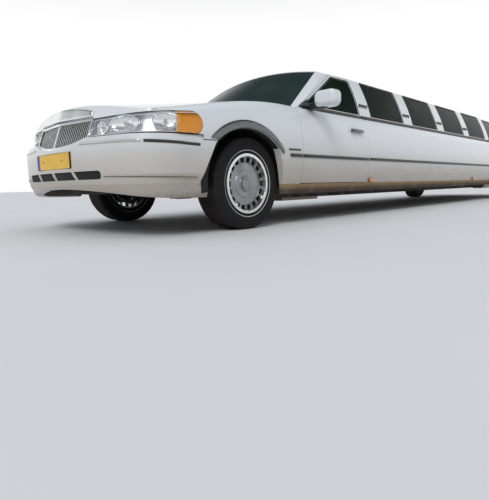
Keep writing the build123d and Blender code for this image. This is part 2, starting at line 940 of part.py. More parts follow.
# Rear bumper
tail_profile = ((70, 290), (14, 380), (0, 440), (0, 560), (20, rear_bumper_top))
tail_profile_inner = ((120, 290), (76, 380), (62, 440), (62, 560), (84, rear_bumper_top))
with BuildPart() as rear_bumper:
    add(tail_band(*tail_profile, *reversed(tail_profile_inner)))
    add(rear_bumper_space(0), mode=Mode.INTERSECT)
    for cut in arch_cuts:
        add(both_sides(cut), mode=Mode.SUBTRACT)
write(rear_bumper, "rear_bumper")

# Grille: a surround and upright bars in two halves that meet at a ridge
grille_edge = 16
grille_ridge = 18
grille_setback = 30
grille_wall = 30
bar_width = 6
bar_pitch = 22
bar_count = 33
bar_front = 6
bar_rear = 20
ridge_bar_width = 22


def grille_sheet(outer, inner):
    """A leaning sheet with a ridge on the centre line, between two depths."""
    with BuildPart() as sheet:
        for depth, mode in ((outer, Mode.ADD), (inner, Mode.SUBTRACT)):
            with BuildLine() as path:
                Line((0, nose_end - grille_ridge + depth), (grille_half, nose_end + grille_setback + depth))
            add(leaning_plan(path.line, front_door_start, 1, nose_lean), mode=mode)
    return sheet.part


with BuildPart() as bars:
    with BuildSketch(Plane.XY.offset(grille_low)):
        with Locations((0, nose_end)):
            with GridLocations(bar_pitch, 1, bar_count, 1):
                Rectangle(bar_width, grille_reach)
            Rectangle(ridge_bar_width, grille_reach)
    extrude(amount=grille_high - grille_low)
    add(grille_sheet(bar_front, bar_rear), mode=Mode.INTERSECT)
    add(grille_space(0), mode=Mode.INTERSECT)
with BuildPart() as grille:
    add(grille_sheet(0, grille_wall))
    add(grille_space(0), mode=Mode.INTERSECT)
    add(grille_space(-grille_edge), mode=Mode.SUBTRACT)
    add(bars.part)
write(grille, "grille")

# Headlamps: clear lenses that follow the body, with a housing behind that holds two bowls
with BuildPart() as lens:
    add(lens_outer)
    add(lamp_space(0), mode=Mode.INTERSECT)
    add(lens_inner, mode=Mode.SUBTRACT)
    mirror(about=Plane.YZ)
write(lens, "headlamp_lenses")
# Columns: place across the car, depth of the back behind the nose, radius
bowl_rows = ((665, 215, 54), (828, 285, 46))
bowl_height = lamp_low + lamp_round - 10
bowl_reach = 300
with BuildPart() as bowls:
    for x, depth, radius in bowl_rows:
        with BuildSketch(Plane.XZ.offset(-nose_end - depth)):
            with Locations((x, bowl_height)):
                Circle(radius)
        extrude(amount=bowl_reach)
housing_outer_x = 800
housing_foot = block_between(
    (lamp_inner_x, nose_end - past_end, bumper_top),
    (housing_outer_x, lamp_rear - 2 * lamp_round, lamp_low + 1),
)
with BuildPart() as housing:
    add(lamp_space(0))
    add(housing_foot)
    add(lens_inner, mode=Mode.INTERSECT)
    add(body_core, mode=Mode.SUBTRACT)
    add(bowls.part, mode=Mode.SUBTRACT)
    mirror(about=Plane.YZ)
write(housing, "headlamp_housings")

# Tail lamps, solid lenses round the rear corners
with BuildPart() as tail_lamp:
    add(lens_outer)
    add(
        block_between(
            (trunk_half + panel_gap, tail_lamp_start, tail_lamp_low + panel_gap),
            (cut_outer_x, tail_end, tail_lamp_high - panel_gap),
        ),
        mode=Mode.INTERSECT,
    )
    add(body_core, mode=Mode.SUBTRACT)
    mirror(about=Plane.YZ)
write(tail_lamp, "tail_lamps")

# Floor with a tunnel, and the higher trunk floor over the rear axle
floor_low = 290
floor_wall = 15
floor_top = floor_low + floor_wall
trunk_floor_low = 475
trunk_floor_top = trunk_floor_low + floor_wall
tunnel_half = 150
tunnel_top_half = 110
tunnel_height = 420
trunk_floor_half = 635
floor_step = rear_axle - 400
tail_panel_front = tail_end - 200
tail_panel_wall = 25
firewall_wall = 25
floor_start = firewall_start + firewall_wall
exhaust_x = 300


def tunnel_outline(wall):
    """The tunnel's section, thinner by a wall."""
    foot, top, height = tunnel_half - wall, tunnel_top_half - wall, tunnel_height - wall
    corners = ((-foot, floor_low), (-top, height), (top, height), (foot, floor_low))
    return Polygon(*corners, align=None, mode=Mode.PRIVATE)


with BuildPart() as floor_pan:
    with BuildSketch(Plane.XZ.offset(-floor_start)):
        with Locations((0, floor_low)):
            Rectangle(2 * rocker_inner_x, floor_wall, align=(Align.CENTER, Align.MIN))
        add(tunnel_outline(0))
        add(tunnel_outline(floor_wall), mode=Mode.SUBTRACT)
    extrude(amount=-(floor_step - floor_start))
    with BuildSketch(Plane.YZ.offset(-trunk_floor_half)):
        with BuildLine():
            Polyline(
                (floor_step, floor_low),
                (floor_step, trunk_floor_top),
                (tail_panel_front, trunk_floor_top),
                (tail_panel_front, trunk_floor_low),
                (floor_step + floor_wall, trunk_floor_low),
                (floor_step + floor_wall, floor_low),
                close=True,
            )
        make_face()
    extrude(amount=2 * trunk_floor_half)
    with Locations((0, floor_step + floor_wall / 2, floor_low)):
        Box(
            2 * tunnel_half,
            2 * floor_wall,
            tunnel_height - floor_wall - floor_low,
            align=(Align.CENTER, Align.CENTER, Align.MIN),
            mode=Mode.SUBTRACT,
        )
write(floor_pan, "floor_pan")

# Panel behind the rear bumper and below the trunk lid
with BuildPart() as tail_panel:
    with Locations((0, tail_panel_front, trunk_floor_low)):
        Box(
            2 * trunk_floor_half,
            tail_panel_wall,
            trunk_low - panel_gap - trunk_floor_low,
            align=(Align.CENTER, Align.MIN, Align.MIN),
        )
write(tail_panel, "tail_panel")

# Bulkhead between the cabin and the trunk, with the parcel shelf
bulkhead_wall = 25
shelf_low = 905
shelf_half = 795
with BuildPart() as bulkhead:
    with BuildSketch(Plane.YZ.offset(-trunk_floor_half)):
        with BuildLine():
            Polyline(
                (bulkhead_start, trunk_floor_top),
                (bulkhead_start, shelf_low + bulkhead_wall),
                (bulkhead_start + bulkhead_wall, shelf_low + bulkhead_wall),
                (bulkhead_start + bulkhead_wall, trunk_floor_top),
                close=True,
            )
        make_face()
    extrude(amount=2 * trunk_floor_half)
    with Locations((0, bulkhead_start, shelf_low)):
        Box(
            2 * shelf_half,
            backlight_foot[0] - bulkhead_start,
            bulkhead_wall,
            align=(Align.CENTER, Align.MIN, Align.MIN),
        )
write(bulkhead, "bulkhead")

# Cowl under the windscreen, with the firewall below it
cowl_rear = front_axle + 700
cowl_low = 880
tunnel_cut = 300
rocker_clear = block_between((rocker_inner_x, front_axle, 0), (past_floor, floor_start, rocker_height))
firewall_limit = block_between(
    (-past_floor, firewall_start, floor_low), (past_floor, floor_start, cowl_low)
)
cowl_limit = block_between(
    (-hood_rear_half, hood_rear + panel_gap, cowl_low), (hood_rear_half, cowl_rear, past_deck)
)
with BuildPart() as firewall:
    add(body_core)
    add(firewall_limit, mode=Mode.INTERSECT)
    add(both_sides(rocker_clear), mode=Mode.SUBTRACT)
with BuildPart() as cowl:
    add(outer_body)
    add(cowl_limit, mode=Mode.INTERSECT)
    add(firewall.part)
    add(cabin_space, mode=Mode.SUBTRACT)
    add(lid_arms(hood_arm_x, hood_rear, 1, arm_clearance), mode=Mode.SUBTRACT)
    with BuildSketch(Plane.XZ.offset(-floor_start)):
        add(tunnel_outline(floor_wall))
    extrude(amount=tunnel_cut, mode=Mode.SUBTRACT, both=True)
write(cowl, "cowl")

# Perimeter frame: rails, cross members, towers for the front springs and beams behind the bumpers
rail_low = 205
rail_top = floor_low
main_rail = (545, 615)
front_rail = (375, 440)
rear_rail = (455, 525)
front_rail_low = 286
front_rail_top = 330
front_rail_start = nose_end + 150
rear_rail_low = 405
rear_rail_start = floor_step + floor_wall
rail_foot = firewall_start - 5
rail_post = 60
cross_low = 240
cross_count = 6
cross_width = 60
cross_start = floor_start + 250
cross_pitch = (floor_step - 200 - cross_start) / (cross_count - 1)
tower_height = 520
arm_half_width = 24
beam_wall = 45
beam_half = 600
front_joint_end = rail_foot + 90
rear_joint_end = rear_rail_start + 80
nose_member_end = front_rail_start + 120
tail_member_start = tail_panel_front - 80
engine_member_half = 60
engine_member_top = front_rail_top - 10
tower_half = 70
tower_inner_x = front_rail[0] + 5
# Columns: lowest corner, highest corner
frame_rows = (
    ((front_rail[0], rail_foot - rail_post, rail_low), (front_rail[1], rail_foot, front_rail_top)),
    ((front_rail[0], front_rail_start, front_rail_low), (front_rail[1], rail_foot, front_rail_top)),
    ((front_rail[0], rail_foot, rail_low), (main_rail[1], front_joint_end, rail_top)),
    ((main_rail[0], rail_foot, rail_low), (main_rail[1], rear_joint_end, rail_top)),
    ((rear_rail[0], rear_rail_start, rail_low), (main_rail[1], rear_joint_end, rail_top)),
    ((rear_rail[0], rear_rail_start, rail_low), (rear_rail[1], rear_joint_end, trunk_floor_low)),
    ((rear_rail[0], rear_rail_start, rear_rail_low), (rear_rail[1], tail_panel_front, trunk_floor_low)),
    (
        (0, front_axle - engine_member_half, front_rail_low),
        (front_rail[0], front_axle + engine_member_half, engine_member_top),
    ),
    ((0, front_rail_start, front_rail_low), (front_rail[0], nose_member_end, front_rail_top)),
    ((0, tail_member_start, rear_rail_low), (rear_rail[0], tail_panel_front, trunk_floor_low)),
    (
        (tower_inner_x, front_axle - tower_half, front_rail_low),
        (front_rail[1], front_axle + tower_half, tower_height),
    ),
)
with BuildPart() as frame_half:
    for low, high in frame_rows:
        add(block_between(low, high))
    for number in range(cross_count):
        y = cross_start + number * cross_pitch
        add(block_between((0, y, cross_low), (main_rail[0], y + cross_width, rail_top)))
beam_depth = bumper_wall + seat_gap
front_beam_low = 420
front_beam_high = 550
rear_beam_low = 445
rear_beam_high = 555
bracket_low = front_rail_top + 10
bracket_end = front_rail_start + 40
bracket_nose = nose_end + 125
bracket_tail = tail_end - 115


def beam(band, low, high):
    """A beam that follows the inner face of a bumper."""
    back = beam_depth + beam_wall
    with BuildPart() as bar:
        add(band((beam_depth, low), (beam_depth, high), (back, high), (back, low)))
        add(block_between((-beam_half, nose_end, low), (beam_half, tail_end, high)), mode=Mode.INTERSECT)
    return bar.part


front_beam = beam(nose_band, front_beam_low, front_beam_high)
rear_beam = beam(tail_band, rear_beam_low, rear_beam_high)
with BuildPart() as frame:
    add(both_sides(frame_half.part))
    add(front_beam)
    add(rear_beam)
    for low_x, high_x in (front_rail, (-front_rail[1], -front_rail[0])):
        top = (high_x, bracket_end, front_beam_high)
        add(block_between((low_x, front_rail_start, front_rail_top - 1), top))
        add(block_between((low_x, bracket_nose, bracket_low), top))
    for low_x, high_x in (rear_rail, (-rear_rail[1], -rear_rail[0])):
        add(block_between((low_x, tail_panel_front, rear_beam_low), (high_x, bracket_tail, trunk_floor_low)))
write(frame, "frame_rails")

# Engine with its gearbox, and the shaft in the tunnel
engine_half = 270
gearbox_half = 95
engine_front = front_axle - 480
engine_rear = front_axle + 150
engine_low = front_rail_top - 10
engine_top = 790
sump_start = floor_start + 10
sump_end = cross_start - 5
gearbox_rear = floor_start + 500
gearbox_low = 215
gearbox_top = 385
shaft_radius = 38
shaft_height = 335
with BuildPart() as engine:
    add(block_between((-engine_half, engine_front, engine_low), (engine_half, engine_rear, engine_top)))
    add(block_between((-gearbox_half, engine_rear, engine_low), (gearbox_half, gearbox_rear, gearbox_top)))
    add(block_between((-gearbox_half, sump_start, gearbox_low), (gearbox_half, sump_end, gearbox_top)))
write(engine, "engine")

# Rear axle: housing, shaft, springs under the frame and a spindle for each wheel
axle_radius = 42
housing_radius = 125
spring_radius = 52
rear_wheel_x = rear_track / 2
front_wheel_x = front_track / 2
spindle_reach = 62
spring_x = (rear_rail[0] + rear_rail[1]) / 2
axle_half = rear_wheel_x - rim_width / 2 - 8
with BuildPart() as driveline:
    with BuildSketch(Plane.YZ):
        with Locations((rear_axle, tyre_radius)):
            Circle(axle_radius)
    extrude(amount=axle_half, both=True)
    with Locations((0, rear_axle, tyre_radius)):
        Sphere(housing_radius)
    with BuildSketch(Plane.YZ):
        with Locations((rear_axle, tyre_radius)):
            Circle(spindle_radius)
    extrude(amount=rear_wheel_x + spindle_reach, both=True)
    with BuildSketch(Plane.XZ.offset(-gearbox_rear)):
        with Locations((0, shaft_height)):
            Circle(shaft_radius)
    extrude(amount=-(rear_axle - gearbox_rear))
    with BuildSketch(Plane.XY.offset(tyre_radius)):
        with Locations((spring_x, rear_axle), (-spring_x, rear_axle)):
            Circle(spring_radius)
    extrude(amount=rear_rail_low - tyre_radius)
write(driveline, "rear_axle")

# Exhaust along the tunnel's side, hung from the cross members
pipe_radius = 25
pipe_height = 210
hanger_size = (24, cross_width, cross_low - pipe_height)
muffler_size = (170, 620, 90)
muffler_places = (floor_start + 900, rear_axle + 700)
exhaust_start = floor_start + 120
exhaust_tip = tail_end - 60
with BuildPart() as exhaust:
    with BuildSketch(Plane.XZ.offset(-exhaust_start)):
        with Locations((exhaust_x, pipe_height)):
            Circle(pipe_radius)
    extrude(amount=-(exhaust_tip - exhaust_start))
    for y in muffler_places:
        with Locations((exhaust_x, y, pipe_height)):
            Box(*muffler_size)
    for number in range(cross_count):
        with Locations((exhaust_x, cross_start + number * cross_pitch, pipe_height)):
            Box(*hanger_size, align=(Align.CENTER, Align.MIN, Align.MIN))
write(exhaust, "exhaust")

# Fuel tank under the trunk floor
tank_low = (-400, rear_axle + 260, 290)
tank_high = (400, rear_axle + 900, trunk_floor_low)
tank_corner = 60
with BuildPart() as tank:
    add(block_between(tank_low, tank_high))
    fillet(tank.edges().filter_by(Axis.Z), tank_corner)
write(tank, "fuel_tank")

# Radiator behind the grille, between the headlamps
radiator_half = lamp_inner_x - 2 * panel_gap
radiator_front = front_rail_start + 45
radiator_wall = 55
radiator_low = (-radiator_half, radiator_front, front_rail_top)
radiator_high = (radiator_half, radiator_front + radiator_wall, lamp_high - 20)
with BuildPart() as radiator:
    add(block_between(radiator_low, radiator_high))
write(radiator, "radiator")

# Front suspension: wishbones from the frame to a ball pin above and below each knuckle
knuckle_low = 195
knuckle_high = 478
ball_radius = 10
ball_length = 16
arm_wall = 20
lower_mount_z = front_rail_low + 24
upper_mount_z = 505
# Columns: height of the ball's face, way to the arm, height at the frame
arm_rows = (
    (knuckle_low - pin_clearance, -1, lower_mount_z),
    (knuckle_high + pin_clearance, 1, upper_mount_z),
)
frame_x = front_rail[1]
with BuildPart() as suspension:
    for ball_z, upward, mount_z in arm_rows:
        with BuildSketch(Plane.XZ.offset(-front_axle + arm_half_width)):
            with BuildLine():
                Polyline(
                    (frame_x, mount_z),
                    (kingpin_x - 2 * arm_half_width, ball_z),
                    (kingpin_x + arm_half_width, ball_z),
                    (kingpin_x + arm_half_width, ball_z + upward * arm_wall),
                    (kingpin_x - 2 * arm_half_width, ball_z + upward * arm_wall),
                    (frame_x, mount_z + upward * arm_wall),
                    close=True,
                )
            make_face()
        extrude(amount=-2 * arm_half_width)
        with BuildSketch(Plane.XY.offset(ball_z + upward * arm_wall / 2)):
            with Locations((kingpin_x, front_axle)):
                Circle(ball_radius)
        extrude(amount=-upward * (ball_length + arm_wall / 2))
    mirror(about=Plane.YZ)
write(suspension, "front_suspension")

# Knuckles: an upright on the ball pins, with the wheel's spindle
post_radius = 22
with BuildPart() as knuckle:
    with BuildSketch(Plane.XY.offset(knuckle_low)):
        with Locations((kingpin_x, front_axle)):
            Circle(post_radius)
    extrude(amount=knuckle_high - knuckle_low)
    with BuildSketch(Plane.YZ.offset(kingpin_x)):
        with Locations((front_axle, tyre_radius)):
            Circle(spindle_radius)
    extrude(amount=front_wheel_x + spindle_reach - kingpin_x)
    for z, upward in ((knuckle_low, 1), (knuckle_high, -1)):
        with BuildSketch(Plane.XY.offset(z)):
            with Locations((kingpin_x, front_axle)):
                Circle(ball_radius + pin_clearance)
        extrude(amount=upward * (ball_length + 2), mode=Mode.SUBTRACT)
write_pair(knuckle.part, "knuckle")

# Wheels: a tyre of arcs on a rim with windows round a dished face, and a hub that turns on the spindle
hub_radius = 62
hub_inner = -55
rotor_radius = 133
rotor_wall = 25
disc_face = 78
dish_face = 68
disc_wall = 14
barrel_wall = 10
flange_wall = 8
cap_radius = 60
ring_radius = 103
dish_radius = 155
slot_count = 18
slot_radius = 177
slot_length = 36
slot_width = 42
bead_share = 0.86
sidewall_share = 0.97
tread_share = 0.78
shoulder_place = 0.93
shoulder_drop = 10
sidewall_drop = 32
bead_height = 222


def wheel(centre_x, centre_y):
    """A tyre and a rim on a left-hand spindle."""
    half = tyre_width / 2
    bead_x = bead_share * half
    tread_x = tread_share * half
    with BuildPart() as tyre:
        with BuildSketch(Plane.XY):
            with BuildLine():
                Line((-tread_x, tyre_radius), (tread_x, tyre_radius))
                Line((-bead_x, bead_radius), (bead_x, bead_radius))
                for sign in (-1, 1):
                    shoulder = (sign * sidewall_share * half, tyre_radius - sidewall_drop)
                    between = (sign * shoulder_place * half, tyre_radius - shoulder_drop)
                    bead = (sign * bead_x, bead_height)
                    ThreePointArc((sign * tread_x, tyre_radius), between, shoulder)
                    ThreePointArc(shoulder, (sign * half, (tyre_radius + bead_radius) / 2), bead)
                    Line(bead, (sign * bead_x, bead_radius))
            make_face()
        revolve(axis=Axis.X)
    with BuildPart() as rim:
        with BuildSketch(Plane.XY):
            with BuildLine():
                Polyline(
                    (-bead_x, bead_radius),
                    (-bead_x, bead_radius - barrel_wall),
                    (dish_face - disc_wall, bead_radius - barrel_wall),
                    (dish_face - disc_wall, hub_radius),
                    (hub_inner + rotor_wall, hub_radius),
                    (hub_inner + rotor_wall, rotor_radius),
                    (hub_inner, rotor_radius),
                    (hub_inner, 0),
                    (disc_face, 0),
                    (disc_face, cap_radius - 6),
                    (dish_face + 4, cap_radius),
                    (dish_face + 4, ring_radius - 3),
                    (dish_face, ring_radius),
                    (dish_face, dish_radius),
                    (disc_face, dish_radius + 4),
                    (disc_face, bead_radius - barrel_wall - 2),
                    (bead_x + flange_wall, bead_radius - barrel_wall + 2),
                    (bead_x + flange_wall, flange_radius),
                    (bead_x, flange_radius),
                    (bead_x, bead_radius),
                    close=True,
                )
            make_face()
        revolve(axis=Axis.X)
        with BuildSketch(Plane.YZ.offset(dish_face - disc_wall - 5)):
            with PolarLocations(slot_radius, slot_count):
                Rectangle(slot_length, slot_width)
        extrude(amount=disc_wall + 30, mode=Mode.SUBTRACT)
        with BuildSketch(Plane.YZ.offset(hub_inner)):
            Circle(spindle_radius + pin_clearance)
        extrude(amount=spindle_reach + 1 - hub_inner, mode=Mode.SUBTRACT)
    place = Pos(centre_x, centre_y, tyre_radius)
    return place * tyre.part, place * rim.part


for place, centre_x, centre_y in (("front", front_wheel_x, front_axle), ("rear", rear_wheel_x, rear_axle)):
    tyre, rim = wheel(centre_x, centre_y)
    write_pair(tyre, f"tyre_{place}")
    write_pair(rim, f"rim_{place}")

# Dashboard, steering wheel and seats
dash_rear = cowl_rear + 280
wheel_centre = (380, dash_rear + 110, 850)
wheel_ring_radius = 190
wheel_tube = 14
wheel_tilt = 25
spoke_width = 40
horn_radius = 70
column_radius = 28
column_length = 160
dash_half = 780
dash_low = 620
dash_outline = (
    (cowl_rear, dash_low),
    (cowl_rear, belt_height - 15),
    (cowl_rear + 60, belt_height),
    (dash_rear - 40, belt_height - 20),
    (dash_rear, belt_height - 70),
    (dash_rear - 60, dash_low),
)
with BuildPart() as dashboard:
    with BuildSketch(Plane.YZ.offset(-dash_half)):
        with BuildLine():
            Polyline(dash_outline, close=True)
        make_face()
    extrude(amount=2 * dash_half)
write(dashboard, "dashboard")

tilt_plane = Plane(
    origin=wheel_centre,
    x_dir=(1, 0, 0),
    z_dir=(0, cos(radians(wheel_tilt)), sin(radians(wheel_tilt))),
)
with BuildPart() as steering_wheel:
    with BuildSketch(Plane(origin=wheel_centre, x_dir=(1, 0, 0), z_dir=tilt_plane.y_dir)):
        with Locations((wheel_ring_radius - wheel_tube, 0)):
            Circle(wheel_tube)
    revolve(axis=Axis(wheel_centre, tilt_plane.z_dir))
    with BuildSketch(tilt_plane):
        Rectangle(2 * wheel_ring_radius - 2 * wheel_tube, spoke_width)
        Circle(horn_radius)
    extrude(amount=wheel_tube / 2, both=True)
    with BuildSketch(tilt_plane):
        Circle(column_radius)
    extrude(amount=-column_length)
    add(dashboard.part, mode=Mode.SUBTRACT)
write(steering_wheel, "steering_wheel")

cushion_low = 400
cushion_top = 550
back_wall = 150
back_top = 1090
back_lean = 90
back_top_wall = 105
seat_slope = 30
base_front = 40
base_rear = 60


def bench(low_x, high_x, start, depth, seat_low, seat_top, top):
    """A seat that faces forward: base, cushion and a back that leans to the rear."""
    back = start + depth
    outline = (
        (start + base_front, floor_top),
        (start, seat_low),
        (start, seat_top),
        (back, seat_top - seat_slope),
        (back + back_lean, top),
        (back + back_lean + back_top_wall, top),
        (back + back_wall, seat_low),
        (back + back_wall - base_rear, floor_top),
    )
    with BuildPart() as seat:
        with BuildSketch(Plane.YZ.offset(low_x)):
            with BuildLine():
                Polyline(outline, close=True)
            make_face()
        extrude(amount=high_x - low_x)
    return seat.part


front_seat_start = front_axle + 1190
seat_inner_x = 165
seat_outer_x = 665
front_seat_depth = 470
headrest_size = (260, 90, 130)
headrest_place = ((seat_inner_x + seat_outer_x) / 2, front_seat_start + front_seat_depth + 120, back_top)
with BuildPart() as tunnel_block:
    with BuildSketch(Plane.XZ.offset(-floor_start)):
        add(tunnel_outline(0))
    extrude(amount=-(floor_step + floor_wall - floor_start))
with BuildPart() as front_seats:
    add(
        bench(
            seat_inner_x,
            seat_outer_x,
            front_seat_start,
            front_seat_depth,
            cushion_low,
            cushion_top,
            back_top,
        )
    )
    with Locations(headrest_place):
        Box(*headrest_size, align=(Align.CENTER, Align.CENTER, Align.MIN))
    mirror(about=Plane.YZ)
write(front_seats, "front_seats")

# Partition behind the front seats, with an opening
partition_start = front_axle + 2010
partition_wall = 40
partition_half = 795
partition_end = partition_start + partition_wall
partition_low = (-partition_half, partition_start, floor_top)
partition_high = (partition_half, partition_end, roof_height - 30)
beside_low = (rocker_inner_x, partition_start, 0)
beside_high = (past_floor, partition_end, rocker_height)
hatch_height = 1130
hatch_size = (900, 4 * partition_wall, 260)
with BuildPart() as partition:
    add(body_core)
    add(cabin_core)
    add(block_between(partition_low, partition_high), mode=Mode.INTERSECT)
    add(both_sides(block_between(beside_low, beside_high)), mode=Mode.SUBTRACT)
    add(tunnel_block.part, mode=Mode.SUBTRACT)
    with Locations((0, partition_start + partition_wall / 2, hatch_height)):
        Box(*hatch_size, mode=Mode.SUBTRACT)
write(partition, "partition")

# Lounge: a bench across the rear, a bench along the right side and a bar on the left
rear_bench_depth = 480
rear_bench_start = bulkhead_start - back_lean - back_top_wall - rear_bench_depth
rear_seat_top = 600
rear_back_top = 1000
side_bench_start = partition_end + 1300
side_bench_end = rear_door_start - 100
side_bench_outer = -790
side_bench_front = -270
side_back_top = 940
side_back_walls = (110, 150)
side_base_rear = 50
lounge_seat_low = 380
lounge_seat_top = 500
over_rocker = rocker_height + 5
bar_outer_x = 790
bar_inner_x = 460
bar_end = partition_start + 2600
bar_top = 780
trunk_step = block_between((-past_floor, floor_step, 0), (past_floor, tail_end, trunk_floor_top))
with BuildPart() as rear_bench:
    add(
        bench(
            -trunk_floor_half,
            trunk_floor_half,
            rear_bench_start,
            rear_bench_depth,
            lounge_seat_low,
            rear_seat_top,
            rear_back_top,
        )
    )
    add(trunk_step, mode=Mode.SUBTRACT)
    add(tunnel_block.part, mode=Mode.SUBTRACT)
write(rear_bench, "rear_bench")
with BuildPart() as side_bench:
    with BuildSketch(Plane.XZ.offset(-side_bench_start)):
        with BuildLine():
            Polyline(
                (side_bench_outer, over_rocker),
                (side_bench_outer, side_back_top),
                (side_bench_outer + side_back_walls[0], side_back_top),
                (side_bench_outer + side_back_walls[1], lounge_seat_top),
                (side_bench_front, lounge_seat_top + 20),
                (side_bench_front, lounge_seat_low),
                (side_bench_front - side_base_rear, floor_top),
                (-rocker_inner_x, floor_top),
                (-rocker_inner_x, over_rocker),
                close=True,
            )
        make_face()
    extrude(amount=-(side_bench_end - side_bench_start))
write(side_bench, "side_bench")
bar_toe_x = bar_inner_x + 40
with BuildPart() as bar:
    add(block_between((bar_inner_x, partition_end, over_rocker), (bar_outer_x, bar_end, bar_top)))
    add(block_between((bar_toe_x, partition_end, floor_top), (rocker_inner_x, bar_end, over_rocker)))
write(bar, "bar_cabinet")
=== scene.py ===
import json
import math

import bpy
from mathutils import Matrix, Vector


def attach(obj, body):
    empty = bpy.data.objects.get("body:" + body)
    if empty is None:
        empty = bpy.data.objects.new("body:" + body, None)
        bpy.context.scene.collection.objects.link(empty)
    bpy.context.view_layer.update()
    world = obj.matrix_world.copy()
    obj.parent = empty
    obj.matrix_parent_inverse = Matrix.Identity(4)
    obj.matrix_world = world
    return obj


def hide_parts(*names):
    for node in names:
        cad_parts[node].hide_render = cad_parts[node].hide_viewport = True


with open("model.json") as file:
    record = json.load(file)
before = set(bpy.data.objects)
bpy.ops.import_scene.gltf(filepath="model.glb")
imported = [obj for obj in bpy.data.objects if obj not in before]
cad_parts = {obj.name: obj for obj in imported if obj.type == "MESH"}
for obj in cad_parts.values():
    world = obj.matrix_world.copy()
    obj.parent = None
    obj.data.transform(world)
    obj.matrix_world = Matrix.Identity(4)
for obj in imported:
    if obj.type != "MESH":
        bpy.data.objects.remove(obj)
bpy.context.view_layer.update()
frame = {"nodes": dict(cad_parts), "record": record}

# %% [markdown]
# # A stretch limousine
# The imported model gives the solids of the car, in metres, with its nose toward -Y and its left side
# toward +X. This file adds what makes it look real: paint, glass, chrome, lamps, trim and grime.
# Every new piece is modelled with Blender's own tools, laid on the body that carries it, and left with
# its object at the origin, so that a pattern on Object coordinates is a pattern on the car itself.

# %% [markdown]
# ## Places on the car
# A few lines across the car come back in many pieces: the two axles, the ends of the body, the shut
# lines of the doors and the heights of the belt and the sill. They are named once here, in metres.

# %% Places
front_axle = -3.740
rear_axle = 3.350
nose = -4.785
tail = 4.785
wheel_height = 0.338
belt = 0.950
sill_seam = 0.330
front_door_start = front_axle + 0.577
front_door_end = front_axle + 1.655
rear_door_start = rear_axle - 1.330
rear_door_end = rear_axle - 0.460
sides = (("left", 1), ("right", -1))
print("car length", round(tail - nose, 3), "wheelbase", round(rear_axle - front_axle, 3))

# %% [markdown]
# ## Camera
# The photograph was taken low down, beside the front left corner, with a wide phone lens. The sizes of
# the car and the directions of its edges in the picture fix the camera's place, turn and lens. A camera
# in Blender looks along its own -Z, so its axes are built from the direction of view.

# %% Camera
photo_width = 489
photo_height = 500
focal_pixels = 447.3
sensor_width = 36.0
camera_place = Vector((3.197, front_axle - 2.450, 0.327))
camera_yaw = math.radians(43.7)
camera_pitch = math.radians(8.24)
camera_roll = math.radians(-1.27)

forward = Vector((
    -math.sin(camera_yaw) * math.cos(camera_pitch),
    math.cos(camera_yaw) * math.cos(camera_pitch),
    -math.sin(camera_pitch),
))
level_right = Vector((math.cos(camera_yaw), math.sin(camera_yaw), 0.0))
level_up = level_right.cross(forward)
right = math.cos(camera_roll) * level_right + math.sin(camera_roll) * level_up
up = -math.sin(camera_roll) * level_right + math.cos(camera_roll) * level_up
bpy.ops.object.camera_add()
camera = bpy.context.object
camera.name = "camera"
camera.matrix_world = Matrix((
    (right.x, up.x, -forward.x, camera_place.x),
    (right.y, up.y, -forward.y, camera_place.y),
    (right.z, up.z, -forward.z, camera_place.z),
    (0, 0, 0, 1),
))
camera.data.sensor_width = sensor_width
camera.data.sensor_fit = "AUTO"
camera.data.lens = sensor_width * focal_pixels / max(photo_width, photo_height)
camera.data.clip_start = 0.05
camera.data.clip_end = 200.0
bpy.context.scene.camera = camera
print("camera at", tuple(round(v, 3) for v in camera_place), "lens", round(camera.data.lens, 2))

# %% [markdown]
# ## Shader maths as expressions
# A material is a web of nodes, and its sums are hard to read as a web. So one small class stands for a
# value that flows between nodes: adding or multiplying two of them adds a Math node, and the method
# `node` adds any other kind. The rest of the file can then write `dust * (1 - mask)`.

# %% Values in a material
class Flow:
    """A value that flows between the nodes of one material."""

    def __init__(self, tree, socket):
        self.tree = tree
        self.socket = socket

    def node(self, kind, settings, values, output=0):
        """Add a node: its settings first, then the values or links of its sockets."""
        made = self.tree.nodes.new(kind)
        for name, value in settings.items():
            setattr(made, name, value)
        for name, value in values.items():
            if isinstance(value, Flow):
                self.tree.links.new(value.socket, made.inputs[name])
            else:
                made.inputs[name].default_value = value
        return Flow(self.tree, made.outputs[output])

    def maths(self, operation, *values):
        """Add a Math node, whose inputs are numbered."""
        return self.node("ShaderNodeMath", {"operation": operation}, dict(enumerate(values)))

    def __add__(self, other):
        return self.maths("ADD", self, other)

    def __sub__(self, other):
        return self.maths("SUBTRACT", self, other)

    def __rsub__(self, other):
        return self.maths("SUBTRACT", other, self)

    def __mul__(self, other):
        return self.maths("MULTIPLY", self, other)

    def __pow__(self, other):
        return self.maths("POWER", self, other)

    __radd__ = __add__
    __rmul__ = __mul__


# %% [markdown]
# ## Small helpers for finishes
# Nearly every finish on a car is one clean colour with something over it: road dirt low down, dust in
# flat places, fine scratches. Each of those is a mask from 0 to 1. The masks read Object coordinates,
# which are the car's own metres here, so dirt always lies at the same height on every panel.

# %% Masks and mixes
def begin(name):
    """A new material with its surface node and the car's own coordinates."""
    material = bpy.data.materials.new(name)
    material.use_nodes = True
    tree = material.node_tree
    place = Flow(tree, tree.nodes.new("ShaderNodeTexCoord").outputs["Object"])
    return material, tree.nodes["Principled BSDF"], place


def join(surface, values):
    """Feed values or constants into sockets of the surface."""
    for socket, value in values.items():
        if isinstance(value, Flow):
            value.tree.links.new(value.socket, surface.inputs[socket])
        else:
            surface.inputs[socket].default_value = value


def split(place):
    """The x, y and z of a place."""
    return [place.node("ShaderNodeSeparateXYZ", {}, {0: place}, index) for index in range(3)]


